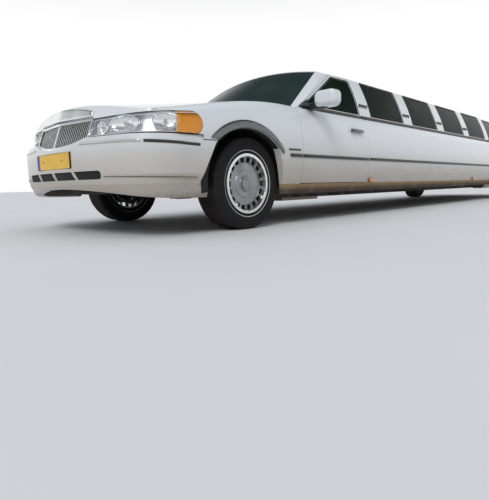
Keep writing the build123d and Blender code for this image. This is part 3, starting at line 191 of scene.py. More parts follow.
def noise(place, scale, detail=3.0, roughness=0.5):
    values = {"Vector": place, "Scale": scale, "Detail": detail, "Roughness": roughness}
    return place.node("ShaderNodeTexNoise", {}, values)


def ramp(value, low, high):
    """0 below low, 1 above high, smooth between them; low may be the larger."""
    values = {"Value": value, "From Min": low, "From Max": high}
    return value.node("ShaderNodeMapRange", {"interpolation_type": "SMOOTHSTEP"}, values)


def waves(value, rate):
    """A wave along a value, with a rate in radians for each metre or radian."""
    return value.maths("SINE", value * rate)


def blend_colours(mask, first, second):
    return mask.node("ShaderNodeMix", {"data_type": "RGBA"}, {0: mask, 6: first, 7: second}, 2)


def bump(height, strength, distance=0.001):
    values = {"Height": height, "Strength": strength, "Distance": distance}
    return height.node("ShaderNodeBump", {}, values)


# %% [markdown]
# ## Body paint
# The car is painted white, with a deep clear coat. Its lower half has a thin warm film, partly road dust
# and partly a painted reflection of the ground; the sill below the doors is brown with dirt and rust and
# darker towards its bottom. One material serves every painted panel, since all of it follows the height
# above the road: a strong band under the sill seam, a fading film above it, and noise that breaks both
# up.
# The dust is also rougher than the paint and hides the clear coat.

# %% Body paint
def make_body_paint():
    material, surface, place = begin("white_paint")
    _, y, height = split(place)
    patches = noise(place, 3.1, 5.0, 0.6)
    fine = noise(place, 40.0)
    stretched = place.node("ShaderNodeMapping", {}, {"Vector": place, "Scale": (1.0, 1.4, 12.0)})
    streaks = noise(stretched, 1.7, 4.0)
    # The warm film on the lower half is partly road dust and partly a painted reflection of the ground.
    dust_and_ground_reflection = ramp(height + patches * 0.06, 0.84, 0.34) * (0.60 + 0.35 * streaks)
    between_ends = ramp(y, nose + 0.95, nose + 1.3) * ramp(y, tail - 0.9, tail - 1.3)
    below_seam = ramp(height, sill_seam + 0.0025, sill_seam - 0.0025)
    dirt = below_seam * between_ends * ramp(patches + 0.5 * fine, 0.15, 0.75)
    low_dirt = ramp(height + 0.05 * fine, 0.345, 0.255) * (0.45 + 0.5 * patches)
    # The sill's brown turns near black over the 6 cm below the seam: darker towards its bottom.
    darker_toward_sill_bottom = ramp(height, sill_seam, sill_seam - 0.06)
    rust_darker_below = blend_colours(darker_toward_sill_bottom, (0.33, 0.205, 0.085, 1), (0.055, 0.035, 0.022, 1))
    # The beige mixed in below is road dust and a painted reflection of the ground.
    colour = blend_colours(dust_and_ground_reflection, (0.74, 0.755, 0.77, 1), (0.42, 0.355, 0.285, 1))
    colour = blend_colours(low_dirt, colour, (0.20, 0.14, 0.09, 1))
    join(surface, {
        "Base Color": blend_colours(dirt * 0.92, colour, rust_darker_below),
        "Roughness": 0.22 + dust_and_ground_reflection * 0.25 + dirt * 0.4,
        "Coat Weight": 0.55 - 0.40 * dust_and_ground_reflection - 0.25 * dirt,
        "Coat Roughness": 0.03,
        "Coat IOR": 1.4,
        "Specular IOR Level": 0.3,
        "Normal": bump(noise(place, 260.0, 2.0) * 0.4 + dirt * fine, 0.12),
    })
    return material


white_paint = make_body_paint()
print("made", white_paint.name)

# %% [markdown]
# ## Glass
# The windows are tinted dark green, and the people inside can hardly be seen. A real pane is clear glass
# with a film, which takes a renderer long to see through. A dark, nearly opaque coat with an even gloss
# gives the same look from outside, and its Alpha lets a little of the cabin show. The windscreen is a
# little lighter. A low IOR keeps the pale sky from whitening the panes at a flat angle.

# %% Window glass
def make_window_glass(name, tint, cover):
    material, surface, place = begin(name)
    dust = ramp(noise(place, 2.3, 4.0), 0.45, 0.8) * 0.06
    join(surface, {
        "Base Color": blend_colours(dust, tint, (0.30, 0.28, 0.24, 1)),
        "Roughness": 0.015 + dust,
        "Alpha": cover + dust,
        "IOR": 1.09,
    })
    return material


side_glass = make_window_glass("tinted_glass", (0.004, 0.011, 0.007, 1), 0.93)
screen_glass = make_window_glass("screen_glass", (0.026, 0.044, 0.042, 1), 0.66)
print("made", side_glass.name, screen_glass.name)

# %% [markdown]
# ## Bright metal and dark trim
# Chrome is a mirror with faint wiping marks and a little dust, so mostly its roughness varies. The
# rubbing strips, seals and mirror feet are black plastic with a fine grain, greyer where dust lies.

# %% Chrome and plastic
def make_metal(name, colour, rough, dust_share, ripple=0.0):
    material, surface, place = begin(name)
    marks = noise(place, 22.0, 5.0, 0.65)
    dust = ramp(noise(place, 6.0, 4.0), 0.5, 0.85) * dust_share
    join(surface, {
        "Base Color": blend_colours(dust, colour, (0.33, 0.29, 0.24, 1)),
        "Metallic": 1.0 - dust,
        "Roughness": rough + 0.08 * marks + 0.4 * dust,
    })
    if ripple:
        join(surface, {"Normal": bump(noise(place, 14.0, 2.0), ripple, 0.01)})
    return material


def make_plastic(name, colour, rough, dust_share, grain=700.0):
    material, surface, place = begin(name)
    dust = ramp(noise(place, 5.0, 5.0, 0.6), 0.42, 0.85) * dust_share
    join(surface, {
        "Base Color": blend_colours(dust, colour, (0.30, 0.26, 0.21, 1)),
        "Roughness": rough + 0.3 * dust,
        "Normal": bump(noise(place, grain, 1.0), 0.25, 0.0004),
    })
    return material


chrome = make_metal("chrome", (0.80, 0.81, 0.82, 1), 0.05, 0.12)
dark_chrome = make_metal("dark_chrome", (0.15, 0.155, 0.165, 1), 0.06, 0.25, 0.5)
dusty_chrome = make_metal("dusty_chrome", (0.52, 0.53, 0.54, 1), 0.12, 0.35)
black_trim = make_plastic("black_trim", (0.012, 0.012, 0.013, 1), 0.38, 0.12)
# Black plastic for the liners; the same black is also painted shade on the rings at the arches.
liner_plastic_and_shade = make_plastic("liner_plastic_and_shade", (0.006, 0.006, 0.006, 1), 0.85, 0.08, 160.0)
seal_rubber = make_plastic("seal_rubber", (0.010, 0.010, 0.010, 1), 0.6, 0.15)
cabin_plastic = make_plastic("cabin_plastic", (0.035, 0.035, 0.036, 1), 0.6, 0.10)
chassis_black = make_plastic("chassis_black", (0.018, 0.016, 0.015, 1), 0.75, 0.55, 120.0)
engine_grey = make_metal("engine_grey", (0.20, 0.20, 0.20, 1), 0.45, 0.5)
exhaust_steel = make_metal("exhaust_steel", (0.30, 0.25, 0.21, 1), 0.42, 0.7)
print("materials so far", len(bpy.data.materials))

# %% [markdown]
# ## Lamps
# Each headlamp has one clear cover, whose rear end is amber for the turn signal. That is one material: a
# mask on the length of the car turns the clear plastic amber behind a leaning line. The tail lamps are
# red, with a pale band for reversing and fine upright flutes.

# %% Lamp finishes
def make_lamp_cover():
    material, surface, place = begin("lamp_cover")
    _, y, height = split(place)
    amber = ramp(y - 0.12 * (height - 0.73), front_axle - 0.666, front_axle - 0.656)
    haze = ramp(noise(place, 9.0, 4.0), 0.4, 0.8) * 0.07
    join(surface, {
        "Base Color": blend_colours(amber, (0.86, 0.88, 0.90, 1), (0.82, 0.30, 0.015, 1)),
        "Alpha": 0.10 + haze + 0.80 * amber,
        "Roughness": 0.02 + haze,
        "Normal": bump(waves(y, 700.0) * amber, 0.5, 0.0015),
    })
    return material


def make_tail_cover():
    material, surface, place = begin("tail_cover")
    x, _, height = split(place)
    pale = ramp(height, 0.742, 0.746) * ramp(height, 0.786, 0.782)
    join(surface, {
        "Base Color": blend_colours(pale, (0.40, 0.008, 0.008, 1), (0.72, 0.68, 0.66, 1)),
        "Roughness": 0.06 + 0.05 * noise(place, 14.0),
        "Normal": bump(waves(x, 520.0), 0.35, 0.001),
        "Coat Weight": 0.8,
    })
    return material


lamp_cover = make_lamp_cover()
tail_cover = make_tail_cover()
reflector = make_metal("reflector", (0.86, 0.87, 0.88, 1), 0.10, 0.06)
amber_lens = make_plastic("amber_lens", (0.75, 0.24, 0.01, 1), 0.12, 0.25, 300.0)
print("materials so far", len(bpy.data.materials))

# %% [markdown]
# ## Tyres and wheels
# A tyre is matt black rubber, browned by dust on its tread, with one thin white line on the side wall.
# The line is a ring round the axle, so the material needs the distance from the axle. The tyres and the
# wheels get one material for each axle, told where its centre is, and a Mapping node moves the pattern
# there.

# %% Tyre and wheel finishes
def from_axle(place, centre_y):
    """Place measured from a wheel's axle, its x, its distance from the axle, and its turn."""
    to_centre = (0.0, -centre_y, -wheel_height)
    moved = place.node("ShaderNodeMapping", {}, {"Vector": place, "Location": to_centre})
    x, y, height = split(moved)
    return moved, x, (y * y + height * height) ** 0.5, y.maths("ARCTAN2", y, height)


def make_tyre_rubber(centre_y):
    material, surface, place = begin("tyre_rubber")
    moved, x, reach, turn = from_axle(place, centre_y)
    white_line = ramp(reach, 0.2405, 0.2415) * ramp(reach, 0.2465, 0.2455)
    dust = ramp(noise(moved, 6.0, 5.0, 0.65), 0.35, 0.8)
    tread = ramp(reach, 0.322, 0.334)
    blocks = ramp(waves(turn * 38.0 + x * 60.0, 1.0), -0.6, -0.2)
    ribs = ramp(waves(reach, 900.0), 0.2, 0.8)
    worn = dust * (0.12 + 0.4 * tread)
    colour = blend_colours(worn, (0.007, 0.007, 0.008, 1), (0.085, 0.068, 0.055, 1))
    join(surface, {
        "Base Color": blend_colours(white_line * 0.85, colour, (0.62, 0.60, 0.56, 1)),
        "Roughness": 0.66 + 0.25 * dust,
        "Specular IOR Level": 0.25,
        "Normal": bump(blocks * tread + ribs * 0.12, 0.9, 0.006),
    })
    return material


def make_wheel_alloy(centre_y):
    material, surface, place = begin("wheel_alloy")
    moved, x, reach, _ = from_axle(place, centre_y)
    lip = ramp(reach, 0.1945, 0.198)
    dust = ramp(noise(moved, 9.0, 5.0, 0.65), 0.35, 0.85) * (1.0 - 0.75 * lip)
    # Parts deeper than the wheel's face are blended to near black: painted shade in the wheel's recess.
    inside = ramp(x.maths("ABSOLUTE", x), 0.868, 0.855)
    colour = blend_colours(lip, (0.30, 0.305, 0.315, 1), (0.72, 0.73, 0.74, 1))
    colour = blend_colours(dust * 0.55, colour, (0.20, 0.165, 0.13, 1))
    # The near-black blend and the lower metallic are painted shade behind the wheel's face.
    join(surface, {
        "Base Color": blend_colours(inside * 0.9, colour, (0.03, 0.028, 0.026, 1)),
        "Metallic": 0.92 - 0.6 * dust - 0.3 * inside,
        "Roughness": 0.30 - 0.18 * lip + 0.3 * dust,
        "Normal": bump(waves(reach, 2600.0), 0.08, 0.0004),
    })
    return material


rubber = {"front": make_tyre_rubber(front_axle), "rear": make_tyre_rubber(rear_axle)}
alloy = {"front": make_wheel_alloy(front_axle), "rear": make_wheel_alloy(rear_axle)}
print("tyre and wheel materials", len(rubber) + len(alloy))

# %% [markdown]
# ## Leather
# The seats are dark leather with a soft sheen. The grain is a fine cell pattern in the bump, and the
# colour is a little lighter where the leather is worn.

# %% Leather
def make_leather():
    material, surface, place = begin("seat_leather")
    cells = {"Vector": place, "Scale": 260.0}
    grain = place.node("ShaderNodeTexVoronoi", {"feature": "DISTANCE_TO_EDGE"}, cells)
    worn = ramp(noise(place, 5.0, 4.0), 0.4, 0.8)
    join(surface, {
        "Base Color": blend_colours(worn, (0.045, 0.042, 0.040, 1), (0.085, 0.080, 0.075, 1)),
        "Roughness": 0.42 + 0.15 * worn,
        "Normal": bump(ramp(grain, 0.0, 0.2), 0.4, 0.0006),
    })
    return material


leather = make_leather()
print("made", leather.name)

# %% [markdown]
# ## Finishes on the car's own solids
# The solids keep their shape, and only their material slots change. The record names a finish for each
# node, so one table from finish to material covers most of them. The tyres and wheels have one for each
# axle, and the windscreen and the grille have their own.

# %% Finishes on the solids
finishes = {
    "body_paint": white_paint,
    "window_glass": side_glass,
    "lamp_lens": lamp_cover,
    "lamp_housing": reflector,
    "tail_lens": tail_cover,
    "chrome": dusty_chrome,
    "chassis_steel": chassis_black,
    "engine_metal": engine_grey,
    "exhaust_steel": exhaust_steel,
    "cabin_trim": cabin_plastic,
    "seat_leather": leather,
}
own_finishes = {"windscreen": screen_glass, "grille": chrome}
for part in frame["record"]["subparts"]:
    name, finish = part["node"], part["material_slot"]
    axle = "front" if "front" in name else "rear"
    if finish == "tyre_rubber":
        material = rubber[axle]
    elif finish == "wheel_alloy":
        material = alloy[axle]
    else:
        material = own_finishes.get(name) or finishes[finish]
    slots = frame["nodes"][name].data.materials
    slots.clear()
    slots.append(material)
print("finished", len(frame["nodes"]), "solids")

# %% [markdown]
# ## Tools for modelling
# A car's trim is mostly long, thin pieces that follow the body. By hand one would draw such a piece as a
# line of points beside the car, pull it into a ribbon, lay it on the panel with a Shrinkwrap modifier
# and give it a wall with Solidify and soft edges with Bevel. The helpers below are those steps.

# %% Selecting and editing
def deselect():
    if bpy.context.mode != "OBJECT":
        bpy.ops.object.mode_set(mode="OBJECT")
    bpy.ops.object.select_all(action="DESELECT")


def edit(select_mode, action=None):
    """Go into the active piece, with an action on its whole selection if one is named."""
    bpy.ops.object.mode_set(mode="EDIT")
    bpy.ops.mesh.select_mode(type=select_mode)
    if action:
        bpy.ops.mesh.select_all(action=action)


def leave_edit():
    bpy.ops.object.mode_set(mode="OBJECT")


def edit_chosen(select_mode, is_chosen):
    """Go into the active piece with only those edges or faces selected that a test chooses."""
    edit(select_mode, "DESELECT")
    leave_edit()
    mesh = bpy.context.object.data
    for item in mesh.edges if select_mode == "EDGE" else mesh.polygons:
        item.select = is_chosen(item)
    edit(select_mode)


def edge_ends(edge):
    """The two end points of an edge of the active piece."""
    points = bpy.context.object.data.vertices
    return points[edge.vertices[0]].co, points[edge.vertices[1]].co


def points_of_piece():
    return [point.co for point in bpy.context.object.data.vertices]


# %% Walls and soft edges
sharp_angle = 40


def settle():
    """Put the active piece's place and turn into its mesh."""
    bpy.ops.object.transform_apply(location=True, rotation=True, scale=True)


def use(kind, **settings):
    """Add a modifier to the active piece and apply it."""
    modifier = bpy.context.object.modifiers.new(kind.lower(), kind)
    for name, value in settings.items():
        setattr(modifier, name, value)
    bpy.ops.object.modifier_apply(modifier=modifier.name)


def make_outward():
    edit("FACE", "SELECT")
    bpy.ops.mesh.remove_doubles(threshold=0.00002)
    bpy.ops.mesh.normals_make_consistent(inside=False)
    leave_edit()


def smooth():
    """Shade the active piece smooth, apart from its sharp edges."""
    bpy.ops.object.shade_smooth_by_angle(angle=math.radians(sharp_angle))


def soften(width, segments=2, angle=sharp_angle):
    """Round the sharp edges of the active piece with a modifier."""
    limit = math.radians(angle)
    use("BEVEL", width=width, segments=segments, limit_method="ANGLE", angle_limit=limit)


def round_all(width, segments):
    """Round every edge of the active piece."""
    edit("EDGE", "SELECT")
    bpy.ops.mesh.bevel(offset=width, segments=segments, affect="EDGES")
    leave_edit()


def give_wall(wall, soft, segments=2):
    use("SOLIDIFY", thickness=wall, offset=0.0, use_even_offset=True)
    make_outward()
    if soft:
        soften(soft, segments)
    smooth()


# %% Lines, ribbons and where they lie
def spread(first, last, count):
    """Places from first to last, both included."""
    return [first + (last - first) * number / (count - 1) for number in range(count)]


def draw_line(points, closed=False):
    """Draw a line through points by extruding one vertex from place to place."""
    deselect()
    bpy.ops.mesh.primitive_plane_add(size=0.01, location=points[0])
    settle()
    edit("VERT")
    bpy.ops.mesh.merge(type="CENTER")
    for before, after in zip(points, points[1:]):
        step = Vector(after) - Vector(before)
        bpy.ops.mesh.extrude_vertices_move(TRANSFORM_OT_translate={"value": step})
    if closed:
        bpy.ops.mesh.select_all(action="SELECT")
        bpy.ops.mesh.edge_face_add()
        bpy.ops.mesh.delete(type="ONLY_FACE")
    leave_edit()
    return bpy.context.object


def pull(step, cuts=0):
    """Extrude the active line into a ribbon, with cuts across it."""
    edit("EDGE", "SELECT")
    for _ in range(cuts + 1):
        bpy.ops.mesh.extrude_edges_move(TRANSFORM_OT_translate={"value": Vector(step) / (cuts + 1)})
    leave_edit()


def rounded_face(points, corner, segments):
    """Fill a closed line of points with one flat face, whose corners are rounded."""
    draw_line(points, closed=True)
    edit("VERT", "SELECT")
    bpy.ops.mesh.edge_face_add()
    bpy.ops.mesh.bevel(offset=corner, segments=segments, affect="VERTICES")
    leave_edit()


def lay_on(node, axis, toward, lift):
    """Move the active ribbon along an axis until it lies on a solid."""
    settings = {
        "target": frame["nodes"][node],
        "wrap_method": "PROJECT",
        "wrap_mode": "ABOVE_SURFACE",
        "offset": lift,
        "use_project_" + axis: True,
        "use_positive_direction": toward > 0,
        "use_negative_direction": toward < 0,
    }
    use("SHRINKWRAP", **settings)


# %% Handing over
made_pieces = []


def hand_over(name, material, body):
    """Name the active piece and say what it is made of and what carries it."""
    piece = bpy.context.object
    piece.name = name
    piece.data.materials.clear()
    piece.data.materials.append(material)
    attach(piece, body)
    made_pieces.append(name)
    return piece


def carriers(node, side):
    """The solid that a piece lies on and the body that carries it. A door has its own on each side."""
    if node.startswith("door"):
        return f"{node}_{side}", f"{node}_{side}_body"
    return node, "body"


def say(what):
    print(what, "made; pieces so far", len(made_pieces))


# %% [markdown]
# ## Wheel arch trims
# A polished lip follows each arch. On the front it is one arc over the wheel, from the bumper to the
# side strip, and on the rear nearly a half circle. An edge as wide as the lip is spun about the arc's
# centre, which is what a turned ring is. Its ends are narrowed, the front one is cut where the bumper
# begins, and the ring is then laid on the fender. Laid so, it follows the bulge of the side by itself.

# %% Arcs and rings
beside_arch = 1.10


def circle_through(a, b, c):
    """Centre and radius of the circle through three (y, z) points."""
    (ay, az), (by, bz), (cy, cz) = a, b, c
    far_a, far_b, far_c = ay**2 + az**2, by**2 + bz**2, cy**2 + cz**2
    d = 2 * (ay * (bz - cz) + by * (cz - az) + cy * (az - bz))
    centre_y = (far_a * (bz - cz) + far_b * (cz - az) + far_c * (az - bz)) / d
    centre_z = (far_a * (cy - by) + far_b * (ay - cy) + far_c * (by - ay)) / d
    return centre_y, centre_z, math.hypot(ay - centre_y, az - centre_z)


def sweep(across, centre_y, centre_z, start, turn, steps):
    """Spin a line about an axis across the car, from a start direction over a turn, both in degrees.

    The line is given as (x, reach) points: a place across the car and a distance from the axis.
    """
    along = (math.cos(math.radians(start)), math.sin(math.radians(start)))
    draw_line([(x, centre_y + reach * along[0], centre_z + reach * along[1]) for x, reach in across])
    edit("VERT", "SELECT")
    centre = (0, centre_y, centre_z)
    bpy.ops.mesh.spin(steps=steps, angle=-math.radians(turn), center=centre, axis=(1, 0, 0))
    leave_edit()
    make_outward()


front_arc = circle_through(
    (front_axle - 0.369, 0.612), (front_axle - 0.070, 0.727), (front_axle + 0.270, 0.600))
rear_arc = (rear_axle, 0.335, 0.392)
print("front arch centre and radius", [round(v, 4) for v in front_arc])

# %% Arch trims
seam_point = (0, front_axle - 0.40, 0.641)
seam_normal = (0, 0.13, 1)
# place, solid, arc, start and turn in degrees, widths at the rear end, in the middle, at the front end
arch_rows = (
    ("front", "front_fenders", front_arc, 40.5, 110.5, (0.030, 0.056, 0.046)),
    ("rear", "quarter_panels", rear_arc, 14.0, 156.0, (0.040, 0.044, 0.040)),
)


def narrow_ends(arc, start, turn, widths):
    """Give the active ring part its three widths, with a smooth change between them."""
    centre_y, centre_z, radius = arc
    rear_width, width, front_width = widths
    for point in points_of_piece():
        across = Vector((point.y - centre_y, point.z - centre_z))
        share = (math.degrees(math.atan2(across.y, across.x)) - start) / turn * 2 - 1
        end_width = front_width if share > 0 else rear_width
        narrower = 1 + (end_width / width - 1) * share * share
        across *= (radius + (across.length - radius) * narrower) / across.length
        point.y = centre_y + across.x
        point.z = centre_z + across.y


for place, node, arc, start, turn, widths in arch_rows:
    inner, outer = arc[2] + 0.001, arc[2] + widths[1]
    for side, sign in sides:
        line = [(sign * beside_arch, reach) for reach in spread(inner, outer, 4)]
        sweep(line, arc[0], arc[1], start, turn, 48)
        narrow_ends(arc, start, turn, widths)
        if place == "front":
            edit("VERT", "SELECT")
            bpy.ops.mesh.bisect(plane_co=seam_point, plane_no=seam_normal, clear_inner=True)
            leave_edit()
        lay_on(node, "x", -sign, 0.004)
        give_wall(0.009, 0.0035)
        hand_over(f"arch_trim_{place}_{side}", dark_chrome, "body")
say("arch trims")

# %% [markdown]
# ## Wheel house liners
# Behind each arch the car has a black plastic liner, which keeps stones off the body. Without it one
# would look at the white inside of the fender. A line across the car is spun over the wheel.

# %% Liners
# place, centre, radius, x of the inner and outer end, start and turn in degrees
liner_rows = (
    ("front", front_axle, wheel_height, 0.415, 0.47, 0.925, -4.0, 188.0),
    ("rear", rear_axle, 0.335, 0.387, 0.652, 0.965, 8.0, 164.0),
)
for place, centre_y, centre_z, radius, inner_x, outer_x, start, turn in liner_rows:
    for side, sign in sides:
        line = [(sign * x, radius) for x in spread(inner_x, outer_x, 5)]
        sweep(line, centre_y, centre_z, start, turn, 40)
        give_wall(0.004, 0.001)
        hand_over(f"wheel_liner_{place}_{side}", liner_plastic_and_shade, "body")
say("liners")

# %% [markdown]
# ## Lips of the wheel houses
# The arch in the skin is a little wider than the house behind it. A flat black ring just inside the
# skin closes what would show of the panel's inner wall; its black is painted shade for the dark inside
# of the arch. Most of it lies in the skin and can't be seen. A second black band, spun like the liner,
# lines the edge of the skin itself, also black as painted shade. Its outer edge follows the bulge of the
# skin, which narrows above and below its widest line.

# %% Wheel house lips
edge_gap = 0.008
widest_x = 0.993
widest_z = 0.560
skin_bulge = 0.389
# place, arc, x of the inner edge, start and turn in degrees
edge_rows = (("front", front_arc, 0.933, 40.0, 84.0), ("rear", rear_arc, 0.885, 12.0, 156.0))
for place, (centre_y, centre_z, radius), inner_x, start, turn in edge_rows:
    for side, sign in sides:
        line = [(sign * x, radius - 0.003) for x in spread(inner_x, 1.0, 3)]
        sweep(line, centre_y, centre_z, start, turn, 40)
        for point in points_of_piece():
            skin = widest_x - skin_bulge * (point.z - widest_z) ** 2
            share = (abs(point.x) - inner_x) / (1.0 - inner_x)
            point.x = sign * (inner_x + share * (skin - edge_gap - inner_x))
        give_wall(0.003, 0.0)
        # The band's black is painted shade on the edge of the arch.
        hand_over(f"arch_edge_shade_{place}_{side}", liner_plastic_and_shade, "body")
for side, sign in sides:
    line = [(sign * 0.9335, reach) for reach in spread(0.4255, 0.482, 3)]
    sweep(line, front_axle, wheel_height, -7.0, 194.0, 40)
    give_wall(0.003, 0.0)
    # The ring's black is painted shade inside the arch.
    hand_over(f"wheel_lip_shade_{side}", liner_plastic_and_shade, "body")
say("wheel house lips")

# %% [markdown]
# ## Rubbing strips
# A black strip runs along the side at the height of the widest line, and each panel carries its own
# piece of it, because the doors open. The fender has a second, short bar above the first one.

# %% Side strips
beside_car = 1.06
strip_height = 0.026
# name, solid, start, end, height of the upper edge
strip_rows = (
    ("fender", "front_fenders", front_axle + 0.402, front_door_start - 0.008, 0.567),
    ("front_door", "door_front", front_door_start + 0.004, front_door_end + 0.022, 0.567),
    ("stretch", "side_panels", front_door_end + 0.041, rear_door_start - 0.008, 0.569),
    ("rear_door", "door_rear", rear_door_start + 0.004, rear_door_end + 0.050, 0.571),
)
for name, node, start, end, top in strip_rows:
    count = max(6, int((end - start) / 0.12))
    for side, sign in sides:
        solid, body = carriers(node, side)
        draw_line([(sign * beside_car, y, top) for y in spread(start, end, count)])
        pull((0, 0, -strip_height), 2)
        lay_on(solid, "x", -sign, 0.004)
        give_wall(0.010, 0.0035)
        hand_over(f"side_strip_{name}_{side}", black_trim, body)
bar_places = spread(front_axle + 0.385, front_axle + 0.540, 6)
for side, sign in sides:
    draw_line([(sign * beside_car, y, 0.605) for y in bar_places])
    pull((0, 0, -0.013), 1)
    lay_on("front_fenders", "x", -sign, 0.002)
    give_wall(0.006, 0.0025)
    hand_over(f"fender_bar_{side}", black_trim, "body")
say("side strips")

# %% [markdown]
# ## Belt mouldings
# Under the windows lies a dark ledge with a bright edge. It hides the joint between the lower body and
# the greenhouse, and again every door has its own length of it.

# %% Belt mouldings
belt_x = 0.9105
belt_rows = (
    ("front_door", "door_front", front_door_start + 0.085, front_door_end - 0.022),
    ("stretch", "side_panels", front_door_end - 0.010, rear_door_start - 0.008),
    ("rear_door", "door_rear", rear_door_start + 0.004, rear_axle - 0.262),
)
for name, node, start, end in belt_rows:
    count = max(6, int((end - start) / 0.15))
    for side, sign in sides:
        _, body = carriers(node, side)
        ledge = [(sign * belt_x, y, belt + 0.026) for y in spread(start, end, count)]
        draw_line(ledge)
        pull((0, 0, -0.030))
        give_wall(0.009, 0.003)
        hand_over(f"belt_ledge_{name}_{side}", black_trim, body)
        draw_line([(x + sign * 0.002, y, z + 0.004) for x, y, z in ledge])
        pull((0, 0, -0.005))
        give_wall(0.004, 0.0015)
        hand_over(f"belt_line_{name}_{side}", chrome, body)
say("belt mouldings")

# %% [markdown]
# ## Window outlines
# The seals and the clips between the windows follow the openings of the solids. The four lounge windows
# are one form at an even pitch, and the door windows have their own. An outline is a list of (y, z)
# points, because all of them are seen from the side.

# %% Window outlines
window_low = belt + 0.012
door_window_high = 1.318
stretch_window_high = 1.338
stretch_start = front_door_end + 0.225
stretch_pillar = 0.265
stretch_pitch = (rear_door_start - 0.065 - stretch_start + stretch_pillar) / 4


def stretch_window(number):
    """The outline of one of the four lounge windows, as (y, z) points."""
    start = stretch_start + number * stretch_pitch
    end = stretch_start + (number + 1) * stretch_pitch - stretch_pillar
    top = stretch_window_high
    return [(start, window_low), (start, top), (end, top), (end, window_low)]


window_rows = [(f"stretch_{number + 1}", "pillars", stretch_window(number)) for number in range(4)]
window_rows.append(("front_door", "door_front", [
    (front_axle + 0.830, window_low),
    (front_axle + 0.830, window_low + 0.066),
    (front_axle + 1.300, 1.290),
    (front_axle + 1.350, door_window_high),
    (front_door_end - 0.020, door_window_high),
    (front_door_end - 0.025, window_low),
]))
window_rows.append(("rear_door", "door_rear", [
    (rear_door_start + 0.195, window_low),
    (rear_door_start + 0.200, door_window_high),
    (rear_axle - 0.440, door_window_high),
    (rear_axle - 0.330, window_low),
]))
print("windows on each side", len(window_rows), "pitch", round(stretch_pitch, 4))

# %% [markdown]
# ## Window seals
# Every pane sits in a black rubber seal. The window's outline is moved out a little and filled with one
# flat face. Its corners are bevelled as vertices, and an inset leaves a band round the opening. The
# inner face goes, and the band is laid on the pillars or the door. A point over the opening lands on
# nothing, so it takes the depth of its nearest neighbour. Last, the band gets a wall.

# %% Window seals
seal_width = 0.009
on_car = 1.0


def grown(outline, width):
    """The (y, z) points of an outline moved out by a width."""
    points = [Vector(point) for point in outline]
    middle = sum(points, Vector((0, 0))) / len(points)
    corners = []
    for before, here, after in zip(points[-1:] + points[:-1], points, points[1:] + points[:1]):
        outward = []
        for start, end in ((before, here), (here, after)):
            normal = (end - start).orthogonal().normalized()
            outward.append(normal if normal.dot(start - middle) > 0 else -normal)
        corners.append(here + (outward[0] + outward[1]) * width / (1 + outward[0].dot(outward[1])))
    return corners


for name, node, outline in window_rows:
    for side, sign in sides:
        solid, body = carriers(node, side)
        opening = grown(outline, seal_width + 0.002)
        rounded_face([(sign * beside_car, y, z) for y, z in opening], 0.026, 5)
        edit("FACE", "SELECT")
        bpy.ops.mesh.inset(thickness=seal_width)
        bpy.ops.mesh.delete(type="FACE")
        bpy.ops.mesh.select_all(action="SELECT")
        bpy.ops.mesh.subdivide(number_cuts=6)
        leave_edit()
        lay_on(solid, "x", -sign, 0.001)
        points = points_of_piece()
        landed = [point for point in points if abs(point.x) < on_car]
        for point in points:
            if abs(point.x) > on_car:
                point.x = min(landed, key=lambda other: (other.yz - point.yz).length).x
        give_wall(0.004, 0.0)
        hand_over(f"window_seal_{name}_{side}", seal_rubber, body)
say("window seals")

# %% [markdown]
# ## Pillar clips
# The pillars between the lounge windows carry small dark clips in a row, a third of the way up. One
# clip is a bar with four teeth: a thin ribbon in eight steps, where every other lower edge is extruded
# down, laid on the pillar and given a wall.

# %% Pillar clips
clip_half = 0.088
clip_top = 1.098
clip_height = 0.010
clip_places = [front_door_end + 0.105]
for number in (1, 2, 3):
    clip_places.append(stretch_start + number * stretch_pitch - stretch_pillar / 2)


def has_tooth(edge, y):
    """Whether a tooth hangs from an edge: every other one of the lower edges."""
    start, end = edge_ends(edge)
    middle = (start + end) / 2
    place = round((middle.y - y + clip_half) / (2 * clip_half) * 8 - 0.5)
    return abs(start.z - end.z) < 0.001 and middle.z < clip_top - 0.008 and place % 2 == 0


for side, sign in sides:
    for number, y in enumerate(clip_places):
        line = spread(y - clip_half, y + clip_half, 9)
        draw_line([(sign * beside_car, place, clip_top) for place in line])
        pull((0, 0, -clip_height))
        edit_chosen("EDGE", lambda edge: has_tooth(edge, y))
        bpy.ops.mesh.extrude_edges_move(TRANSFORM_OT_translate={"value": (0, 0, -0.022)})
        leave_edit()
        lay_on("pillars", "x", -sign, 0.003)
        give_wall(0.007, 0.0015, 1)
        hand_over(f"pillar_clip_{number + 1}_{side}", black_trim, "body")
say("pillar clips")

# %% [markdown]
# ## Side marker lamps
# Small amber lamps sit on the seam above the sill. Each is a low block with all edges well rounded, on
# a dark foot.

# %% Side markers
marker_places = (front_axle + 1.735, front_axle + 4.930)
# name, depth, growth past the lens, material, slot
marker_rows = (
    ("foot", 0.006, 0.006, black_trim, "cabin_trim"),
    ("lens", 0.019, 0.0, amber_lens, "lamp_lens"),
)
for side, sign in sides:
    for number, y in enumerate(marker_places):
        for name, depth, grow, material, slot in marker_rows:
            deselect()
            bpy.ops.mesh.primitive_cube_add(size=1, location=(sign * (0.971 + depth / 2), y, 0.352))
            bpy.context.object.scale = (depth, 0.062 + grow, 0.034 + grow)
            settle()
            round_all(min(0.007, depth * 0.45), 3)
            smooth()
            hand_over(f"side_marker_{name}_{number + 1}_{side}", material, "body")
say("side markers")

# %% [markdown]
# ## The nose in plan
# Bumper, strips and lamps all follow one curve round the nose: a flat arc across the front, a tight arc
# round the corner and a nearly straight flank. Trim has to follow it too, so its points are worked out
# from the same sizes as the solids have, moved inwards by a depth.

